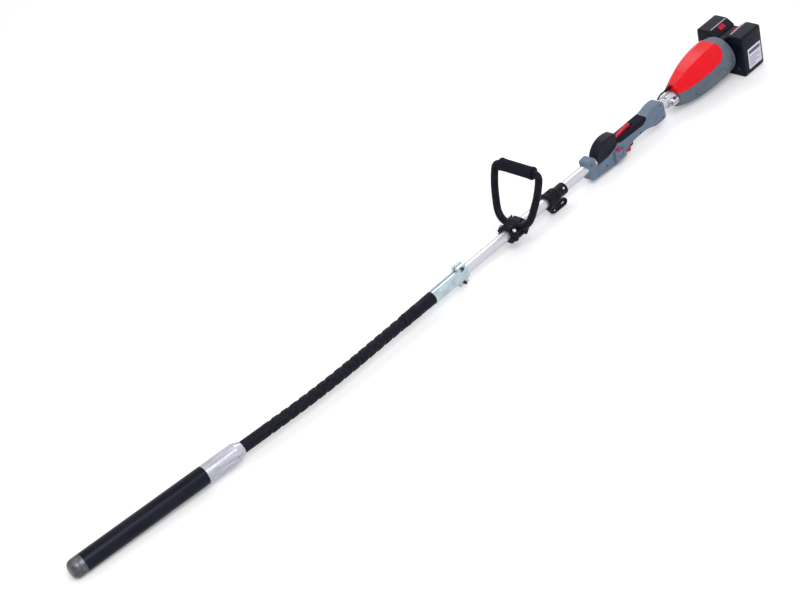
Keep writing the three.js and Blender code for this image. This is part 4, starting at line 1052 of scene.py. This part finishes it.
def handle_whole():
    box_side = [(hx(98), -34), (hx(138), -32), (hx(138), -8), (hx(98), 0)]
    switch_box = slab(rounded(box_side, 3.5), -25, -11, 1.5)
    bosses = [rod((hx(11), -19.2, 13), (hx(11), 0, 13), 5.6, 32)]
    whole = combined(handle_solid(), [switch_box, *bosses], "UNION")
    slide = [(hx(105), -2), (hx(108), 1.8), (hx(126), 1.8), (hx(129), -2),
             (hx(129), -19), (hx(126), -22), (hx(108), -22), (hx(105), -19)]
    screw_places = [(11, 13), (66, -22), (handle_length - 20, 18), (handle_length - 16, -20),
                    (210, -10)]
    cuts = [grip_zone(SEAT), dome_solid(SEAT, bevel=0), pole_room(), lock_room()]
    cuts += [
        box(hx(138), hx(190), -10.3, 10.3, -60, -14.6),
        box(hx(92), hx(139), -12, 12, -36, -14.6),
        slab([(x, z - 1) for x, z in slide], -30, -23.4),
        box(hx(106), hx(128), -23.5, -17.5, -7, 20),
        both_sides(*trigger_pin, 30, 2.1),
        box(hx(96), hx(97.2), -30, -15.8, -50, 10),
        box(hx(30.5), hx(31.7), -30, -16.2, -50, -6),
        box(hx(handle_length - 52), hx(handle_length - 38), -30, -15.6, -5.4, -2.6, 0.8),
    ]
    for x, z in screw_places:
        cuts.append(rod((hx(x), -30, z), (hx(x), -14.5, z), 3.1, 28))
    for i in range(4):
        x = hx(handle_length - 78 + i * 7)
        cuts.append(box(x, x + 2, -30, -16, 7.5, 14, 0.6))
    return combined(whole, cuts), screw_places


handle, screw_places = handle_whole()
for side, name in ((1, "left"), (-1, "right")):
    other = (-60, HALF_SPLIT) if side > 0 else (-HALF_SPLIT, 60)
    other = box(hx(-9), hx(handle_length + 9), *other, -90, 90)
    finished(f"handle_{name}", combined(handle.copy(), [other]), tool, grey_plastic,
             [f"handle_{name}_shell"])
handle.free()
for i, (x, z) in enumerate(screw_places):
    screw = placed(socket_screw(3, 1.5, 2.8, 2.2), (hx(x), -14.8, z), -90)
    finished(f"handle_screw_{i + 1}", screw, tool, dark_steel, body="main")
charcoal = finish(
    "charcoal", tool, (0.006, 0.007, 0.0145), (0.012, 0.0135, 0.024), (0.32, 0.5),
    patch=60, grain=(1900, 0.0002), bare=(0.045, 0.05, 0.065), amount=0.5,
    Specular_IOR_Level=0.12,
)


def dome_shape():
    tail = box(hx(119), hx(300), -60, 60, -60, 60)
    side = []
    for i in range(25):
        angle = math.pi - i / 24 * math.pi
        reach = 42 if angle > math.pi / 2 else 58
        side.append((hx(88) + reach * math.cos(angle), 9 + 28 * math.sin(angle)))
    panels = [slab(side, -18, -14.4), slab(side, 14.4, 18)]
    return combined(dome_solid(), [pole_room(), lock_room(), tail, *panels])


finished("guard_dome", dome_shape(), tool, charcoal, ["control_dome"])


def soft_grip_shape():
    kept = combined(handle_solid(6.0), [grip_zone(0)], "INTERSECT")
    keep_middle = box(hx(0), hx(119 + SEAT), -60, 60, -60, 60)
    return combined(kept, [pole_room(), lock_room(), keep_middle])


finished("palm_grip", soft_grip_shape(), tool, soft_grip, ["soft_grip"])
red_controls = finish(
    "red_controls", tool, (0.50, 0.004, 0.035), (0.66, 0.008, 0.06), (0.28, 0.42),
    patch=90, grain=(1400, 0.0001), bare=(0.8, 0.12, 0.16), amount=0.3,
    Specular_IOR_Level=0.2,
)


def trigger_shape():
    x, z = trigger_pin
    blade = slab(rounded([
        (x - 4, z + 3), (x + 4, z + 4), (x + 30, z - 6), (x + 32, z - 12), (x + 30, z - 23),
        (x + 24, z - 22), (x + 4, z - 14), (x - 4, z - 6),
    ], 4), -7, 7, 1.8, 3)
    return combined(blade, [both_sides(x, z, 15, 2)], "UNION")


finished("finger_trigger", trigger_shape(), tool, red_controls, ["trigger"])


def lock_shape():
    x, z = hx(134), 17.0
    blade = slab(rounded([
        (x - 4, z + 3), (x - 4, z - 2), (x + 10, z - 1), (x + 52, z + 4), (x + 57, z + 6),
        (x + 55, z + 10), (x + 48, z + 12), (x + 6, z + 5),
    ], 2.5), -5, 5, 1.3, 3)
    notches = [box(x + k, x + k + 1.3, -3.6, 3.6, z + 10.3, z + 20) for k in (40, 43.4, 46.8)]
    return combined(blade, notches)


finished("thumb_lock", lock_shape(), tool, red_controls, ["lock_off_lever"])


def switch_shape():
    low, high = switch_low, switch_high
    slide = box(low.x, high.x, low.y, high.y, low.z, high.z, 0.6)
    notches = [box(low.x + k, low.x + k + 1, low.y - 1, low.y + 0.7, low.z + 1, high.z - 1)
               for k in (3, 6, 9)]
    return combined(slide, notches)


finished("speed_slide", switch_shape(), tool, red_controls, ["speed_switch"])

# ---------------------------------------------------------------- rear tube clamp and cable
# A bright aluminium clamp in two halves, closed by one bolt, stops the motor housing
# from sliding. A short cable runs over it from the switch into a rubber boot.
tube_low, tube_high = extent("tube_clamp_upper", tool)
bolt_low, bolt_high = extent("tube_clamp_bolt", tool)
bolt_x, bolt_y = (bolt_low.x + bolt_high.x) / 2, (bolt_low.y + bolt_high.y) / 2


def tube_clamp_half(side):
    front, rear = tube_low.x, tube_high.x
    barrel = turned([(front, 0), (front, 16.8), (front + 0.7, 17.5), (rear - 0.7, 17.5),
                     (rear, 16.8), (rear, 0)], 72)
    ears = box(front + 3, rear - 3, -tube_high.y, tube_high.y, -8, 8, 1.8)
    whole = combined(barrel, [ears], "UNION")
    other = (-60, 0.6) if side > 0 else (-0.6, 60)
    return combined(whole, [
        rod((front - 2, 0, 0), (rear + 2, 0, 0), POLE_FIT, 72),
        rod((bolt_x, bolt_y, -20), (bolt_x, bolt_y, 20), 2.6, 24),
        box(front - 9, rear + 9, -60, 60, *other),
    ])


for side, name in ((1, "upper"), (-1, "lower")):
    finished(f"tube_clamp_{name}_half", tube_clamp_half(side), tool, aluminium,
             [f"tube_clamp_{name}"])
bolt = socket_screw(20.3, 2.3, 4.2, 4.2)
bolt = combined(bolt, [rod((-20.3, 0, 0), (-16.7, 0, 0), 4.2, 6)], "UNION")
placed(bolt, (bolt_x, bolt_y, 8.3), -90, "Y")
finished("clamp_bolt", bolt, tool, dark_steel, ["tube_clamp_bolt"])
motor_low, _ = extent("motor_housing_left", tool)
cable_points = [
    (handle_high.x - 3, 4, 20.5), (handle_high.x + 3, 4.4, 22), (handle_high.x + 9, 5, 24.5),
    (handle_high.x + 16, 5.3, 26), (handle_high.x + 23, 5.2, 26), (motor_low.x - 14, 5, 25),
]


def cable_shape():
    knots = [Vector(p) for p in cable_points]
    knots = [knots[0] * 2 - knots[1]] + knots + [knots[-1] * 2 - knots[-2]]
    path = []
    for a, b, c, d in zip(knots, knots[1:], knots[2:], knots[3:]):
        for k in range(5):
            t = k / 5
            path.append(0.5 * ((2 * b) + (c - a) * t + (2 * a - 5 * b + 4 * c - d) * t * t
                               + (3 * b - a - 3 * c + d) * t ** 3))
    path.append(Vector(cable_points[-1]))
    boot = turned([
        (motor_low.x - 22.3, 0), (motor_low.x - 22.3, 2.9), (motor_low.x - 21.5, 3.3),
        (motor_low.x - 16, 3.8), (motor_low.x - 15.4, 3.2), (motor_low.x - 13.8, 3.2),
        (motor_low.x - 13.2, 4.2), (motor_low.x - 9, 4.5), (motor_low.x - 8.4, 3.8),
        (motor_low.x - 6.8, 3.8), (motor_low.x - 6.2, 4.8), (motor_low.x - 0.3, 5),
        (motor_low.x - 0.3, 0),
    ], 32)
    return combined(swept(path, 2, 16), [placed(boot, (0, 5, 25))], "UNION")


finished("switch_cable", cable_shape(), tool, rubber_rear, ["motor_cable"])

# ---------------------------------------------------------------- motor housing
# Two grey moulded halves hold the motor. A glossy red cover lies over the top of them,
# cut in three long facets, and rises to the back. Slots let the cooling air out.
motor_grey = finish(
    "motor_grey", tool, (0.088, 0.112, 0.148), (0.115, 0.142, 0.182), (0.38, 0.52),
    patch=40, grain=(1400, 0.00018), bare=(0.26, 0.3, 0.36), amount=0.45,
    Specular_IOR_Level=0.35,
)
red_plastic = finish(
    "red_plastic", tool, (0.72, 0.001, 0.006), (0.82, 0.002, 0.012), (0.14, 0.24),
    patch=30, grain=(300, 0.00002), bare=(0.86, 0.09, 0.12), amount=0.3,
    Specular_IOR_Level=0.22,
)
SECTIONS = [
    (0, 24, 31, -32), (26, 33, 41, -41), (60, 43, 53, -48), (101, 51, 61, -50),
    (141, 55, 65, -49), (181, 56, 65, -48), (208, 54, 61, -46),
]
HOUSING_END = SECTIONS[-1][0]
FACETS = (90, 38, 142, -20, 200)  # the way each plane of the cover looks, in degrees


def mx(x):
    return motor_low.x + x


def section_at(x):
    # half width, top and bottom of the housing at a distance from its front
    points = [SECTIONS[0]] + SECTIONS + [SECTIONS[-1]]
    for a, b, c, d in zip(points, points[1:], points[2:], points[3:]):
        if x <= c[0]:
            t = (x - b[0]) / (c[0] - b[0])
            slopes = [((c[i] - a[i]) / (c[0] - a[0]), (d[i] - b[i]) / (d[0] - b[0]))
                      for i in (1, 2, 3)]
            span = c[0] - b[0]
            return [
                b[i] * (2 * t ** 3 - 3 * t * t + 1) + m * span * (t ** 3 - 2 * t * t + t)
                + c[i] * (3 * t * t - 2 * t ** 3) + n * span * (t ** 3 - t * t)
                for i, (m, n) in zip((1, 2, 3), slopes)
            ]
    return list(SECTIONS[-1][1:])


def housing(grow, x0, x1, facets=False, rim=0.0, overrun=0.0):
    # a closed skin over the oval sections; facets flatten it into long planes
    stations = [x0] + [x0 + rim * (1 - math.cos(k * math.pi / 8)) for k in range(1, 5) if rim]
    inner_from, inner_to = (stations[-1], x1 - rim)
    stations += [inner_from + (inner_to - inner_from) * k / 52 for k in range(1, 53)]
    if rim:
        stations += [x1 - rim * (1 - math.sin(k * math.pi / 8)) for k in range(1, 5)]
    shape = turned([(x0, 0)] + [(x, 10) for x in stations] + [(x1, 0)], 96)
    for vertex in shape.verts:
        radius = math.hypot(vertex.co.y, vertex.co.z)
        x = vertex.co.x
        half, top, bottom = section_at(min(max(x, 0), HOUSING_END))
        along = mx(x) + (overrun if x >= HOUSING_END else 0)
        centre = (top + bottom) / 2
        edge = 0.0
        if rim and x < x0 + rim:
            edge = rim * (1 - math.sin(math.acos(min(1, (x0 + rim - x) / rim))))
        if rim and x > x1 - rim:
            edge = rim * (1 - math.sin(math.acos(min(1, (x - x1 + rim) / rim))))
        if radius > 1:
            angle = math.atan2(vertex.co.z, vertex.co.y)
            swell = 1.0
            if facets:
                swell = min(1.03, *(
                    0.972 / max(0.2, math.cos(angle - math.radians(plane)))
                    for plane in FACETS
                ))
            y = (half + grow - edge) * math.cos(angle) * swell
            z = ((top - bottom) / 2 + grow - edge) * math.sin(angle) * swell
            vertex.co = Vector((along, y, centre + z))
        else:
            vertex.co = Vector((along, 0, centre))
    return shape


def cover_zone(gap):
    return slab([
        (mx(-20), 12 - gap), (mx(20), 13 - gap), (mx(150), 32 - gap), (mx(166) + gap, 41 - gap),
        (mx(174) + gap, 52), (mx(175) + gap, 90), (mx(-20), 90),
    ], -80, 80)


def cover_shape():
    skin = housing(1.5, 0, HOUSING_END, facets=True, rim=1.5)
    body = combined(skin, [cover_zone(0)], "INTERSECT")
    cable_way = rod((mx(-10), 5, 25), (mx(6), 5, 25), 5.3, 24)
    return combined(body, [
        housing(-3, 30, HOUSING_END, overrun=30), rod((mx(-9), 0, 0), (mx(27), 0, 0), 13.5, 72),
        cable_way,
    ])


finished("motor_cover", cover_shape(), tool, red_plastic, ["motor_top_cover"],
         crease=12)


def mirrored(shape):
    # the same shape on the other side of the tool
    bmesh.ops.scale(shape, vec=(1, -1, 1), verts=shape.verts)
    bmesh.ops.recalc_face_normals(shape, faces=shape.faces)
    return shape


def housing_half(side):
    panel = rounded([(mx(40), -4), (mx(150), 12), (mx(166), 4), (mx(166), -22), (mx(150), -30),
                     (mx(60), -26)], 9)
    panel_in = rounded([(mx(43), -4.6), (mx(149.4), 10.4), (mx(164.4), 3), (mx(164.4), -21.2),
                        (mx(149.4), -28.6), (mx(61), -24.6)], 8)
    cuts = [
        box(mx(-9), mx(250), -90, HALF_SPLIT, -90, 90),
        rod((mx(-3), 0, 0), (mx(26.3), 0, 0), POLE_FIT, 72),
        housing(-3, 30, HOUSING_END, overrun=30),
        cover_zone(SEAT),
    ]
    for i in range(5):
        z = 24 - i * 6.4
        cuts.append(box(mx(183), mx(201), 40, 70, z, z + 2.6, 0.8))
        cuts.append(box(mx(183), mx(201), 40, 70, z - 38, z - 35.4, 0.8))
    cuts += [
        combined(slab(panel, 20, 90, 0, 3, [panel_in]), [housing(-0.9, 2, 206)]),
        combined(box(mx(176.6), mx(178), -90, 90, -90, 40), [housing(-1, 2, 206)]),
        combined(box(mx(30), mx(31.4), -90, 90, -90, 12), [housing(-0.9, 2, 206)]),
    ]
    half = combined(housing(0, 0, HOUSING_END, rim=2), cuts)
    return half if side > 0 else mirrored(half)


for side, name in ((1, "left"), (-1, "right")):
    finished(f"housing_{name}", housing_half(side), tool, motor_grey,
             [f"motor_housing_{name}"], crease=24)
    for i, (x, z) in enumerate(((52, -14), (156, -18))):
        half, top, bottom = section_at(x)
        level_y = half * math.sqrt(1 - ((z - (top + bottom) / 2) / ((top - bottom) / 2)) ** 2)
        screw = placed(
            socket_screw(3, 1.5, 2.8, 1.2), (mx(x), side * (level_y - 0.6), z), 90 * side
        )
        finished(f"housing_screw_{name}_{i + 1}", screw, tool, dark_steel,
                 body="main")

# ---------------------------------------------------------------- battery adapter
# A black plate behind the motor carries a central fin, and the rails that both packs
# slide down on.
pack_low, pack_high = extent("battery_left", tool)
adapter_low, adapter_high = extent("battery_adapter", tool)
battery_plastic = finish(
    "battery_plastic", tool, (0.004, 0.0046, 0.012), (0.0085, 0.0095, 0.021), (0.3, 0.44),
    patch=50, grain=(1500, 0.00018), bare=(0.045, 0.05, 0.075), amount=0.6,
    Specular_IOR_Level=0.12,
)


def adapter_shape():
    front = adapter_low.x
    plate = turned([(front, 0), (front, 43), (front + 1, 44), (front + 10, 44),
                    (front + 11, 43), (front + 11, 0)], 96)
    spine = box(front + 2, adapter_high.x, -9, 9, adapter_low.z, adapter_high.z, 1.2)
    low, high = pack_low.x + 22, pack_low.x + 62
    rails = box(low, high, -14, 14, -49, 20, 0.8)
    return combined(plate, [spine, rails], "UNION")


# ---------------------------------------------------------------- battery packs
# Two lithium packs side by side, each in a blue-black case of two mouldings, with a red
# release button on its sloping shoulder and a plain label on the outer face.
def pack_shape(side):
    inner, outside = 9.3, pack_high.y
    low, high = pack_low.z, pack_high.z
    front, rear = pack_low.x, pack_high.x
    outline = rounded([
        (inner, low), (outside, low), (outside, high), (31, high), (inner + 2, high - 14),
        (inner, high - 17),
    ], 8, 5)
    if side < 0:
        outline = [(-y, z) for y, z in outline[::-1]]
    body = prism(outline, front, rear, 4, 4)
    depth = side * 14.3
    slot = box(front + 21.7, front + 62.3, min(0, depth), max(0, depth), low - 9, 20.3)
    seam_out = box(front - 9, rear + 9, *sorted((side * 20, side * 90)), 39.4, 40.6)
    within = [(side * y, z) for y, z in (
        (inner - 9, low - 9), (outside - 0.9, low - 9), (outside - 0.9, high + 9),
        (inner - 9, high + 9),
    )]
    seam_in = prism(within[::side], front + 0.9, rear - 0.9)
    seam = combined(seam_out, [seam_in])
    pocket = on_slope(side, 22.6, 13.6, -8, 10, 0)
    ribs = []
    for i in range(5):
        x = front + 14 + i * 12
        ribs.append(box(x, x + 5, *sorted((side * (outside - 0.9), side * (outside + 5))),
                        low + 3, low + 9, 0.5))
    return combined(body, [slot, seam, pocket, *ribs])


def on_slope(side, long, wide, low, high, bevel):
    shoulder, lip = (31.0, pack_high.z), (11.3, pack_high.z - 14)
    slope = math.atan2(shoulder[1] - lip[1], shoulder[0] - lip[0])
    middle = ((shoulder[0] + lip[0]) / 2, (shoulder[1] + lip[1]) / 2)
    shape = box(-long / 2, long / 2, -wide / 2, wide / 2, low, high, bevel)
    shape.transform(
        Matrix.Translation((pack_low.x + 42, middle[0], middle[1]))
        @ Matrix.Rotation(slope, 4, "X")
    )
    if side < 0:
        shape.transform(Matrix.Scale(-1, 4, (0, 1, 0)))
        bmesh.ops.recalc_face_normals(shape, faces=shape.faces)
    return shape


label_paint = finish(
    "label_paint", tool, (0.62, 0.60, 0.74), (0.74, 0.73, 0.82), (0.3, 0.4), patch=25,
    grain=(700, 0.00003),
)
label_dark = finish(
    "label_dark", tool, (0.05, 0.05, 0.12), (0.08, 0.08, 0.16), (0.3, 0.4), patch=25,
    grain=(700, 0.00003),
)
stripe_paint = finish(
    "stripe_paint", tool, (0.36, 0.37, 0.46), (0.46, 0.47, 0.56), (0.35, 0.45), patch=60,
    grain=(900, 0.00005),
)
finished("rail_adapter", adapter_shape(), tool, battery_plastic,
         ["battery_adapter"])
for side, name in ((1, "left"), (-1, "right")):
    body = f"battery_{name}"
    finished(f"pack_{name}", pack_shape(side), tool, battery_plastic, [body])
    outer = pack_high.y
    front, rear, top = pack_low.x, pack_high.x, pack_high.z
    stripe = box(front + 8, rear - 8, 29.5, 32.5, top - 1, top + 0.4, 0.3)
    label = box(front + 18, rear - 8, outer - 1, outer + 0.35, -38, 20, 0.3)
    bar_dark = box(front + 22, rear - 12, outer, outer + 0.6, 4, 14, 0.2)
    lines = [box(front + 22, front + 22 + long, outer, outer + 0.6, z, z + 1.6, 0.2)
             for long, z in ((40, -6), (46, -12), (30, -18), (44, -24), (24, -30))]
    dot = rod((front - 0.5, 52, -30), (front + 2, 52, -30), 3, 24)
    for piece, paint, slot_name, shape in (
        ("stripe", stripe_paint, "grey_plastic", stripe),
        ("label", label_paint, "grey_plastic", label),
        ("label_bars", label_dark, "battery_plastic", combined(bar_dark, lines, "UNION")),
        ("pack_screw", dark_steel, "dark_steel", dot),
    ):
        if side < 0:
            shape.transform(Matrix.Scale(-1, 4, (0, 1, 0)))
            bmesh.ops.recalc_face_normals(shape, faces=shape.faces)
        finished(f"{piece}_{name}", shape, tool, paint, body=body)
    button = on_slope(side, 22, 13, -4.5, 2.5, 1.4)
    notches = [on_slope(side, 1.2, 9, 1.8, 6, 0) for _ in range(3)]
    for k, notch in enumerate(notches):
        bmesh.ops.translate(notch, vec=((k - 1) * 4, 0, 0), verts=notch.verts)
    finished(f"release_{name}_key", combined(button, notches), tool, red_controls,
             [f"release_button_{name}"])

# ---------------------------------------------------------------- what stays as it is
# Bearings, shafts, bushes, the seal, the stator and the smaller moulded parts have
# their true shape already, and only take their finish.
copper = finish(
    "copper", tool, (0.36, 0.12, 0.04), (0.52, 0.2, 0.08), (0.3, 0.45), patch=300,
    grain=(900, 0.0003), Metallic=0.7,
)
kept_finish = {
    "black_steel": black_steel, "cap_steel": cap_steel, "bright_steel": pin_steel,
    "dark_steel": dark_steel, "rubber": rubber_rear, "zinc": zinc, "aluminium": aluminium,
    "black_plastic": black_plastic, "soft_grip": soft_grip, "grey_plastic": grey_plastic,
    "red_plastic": red_plastic, "red_controls": red_controls, "copper": copper,
    "battery_plastic": battery_plastic,
}
for entry in frame["record"]["subparts"]:
    node = frame["nodes"][entry["node"]]
    if not node.hide_render:
        node.data.materials.clear()
        node.data.materials.append(kept_finish[entry["material_slot"]])
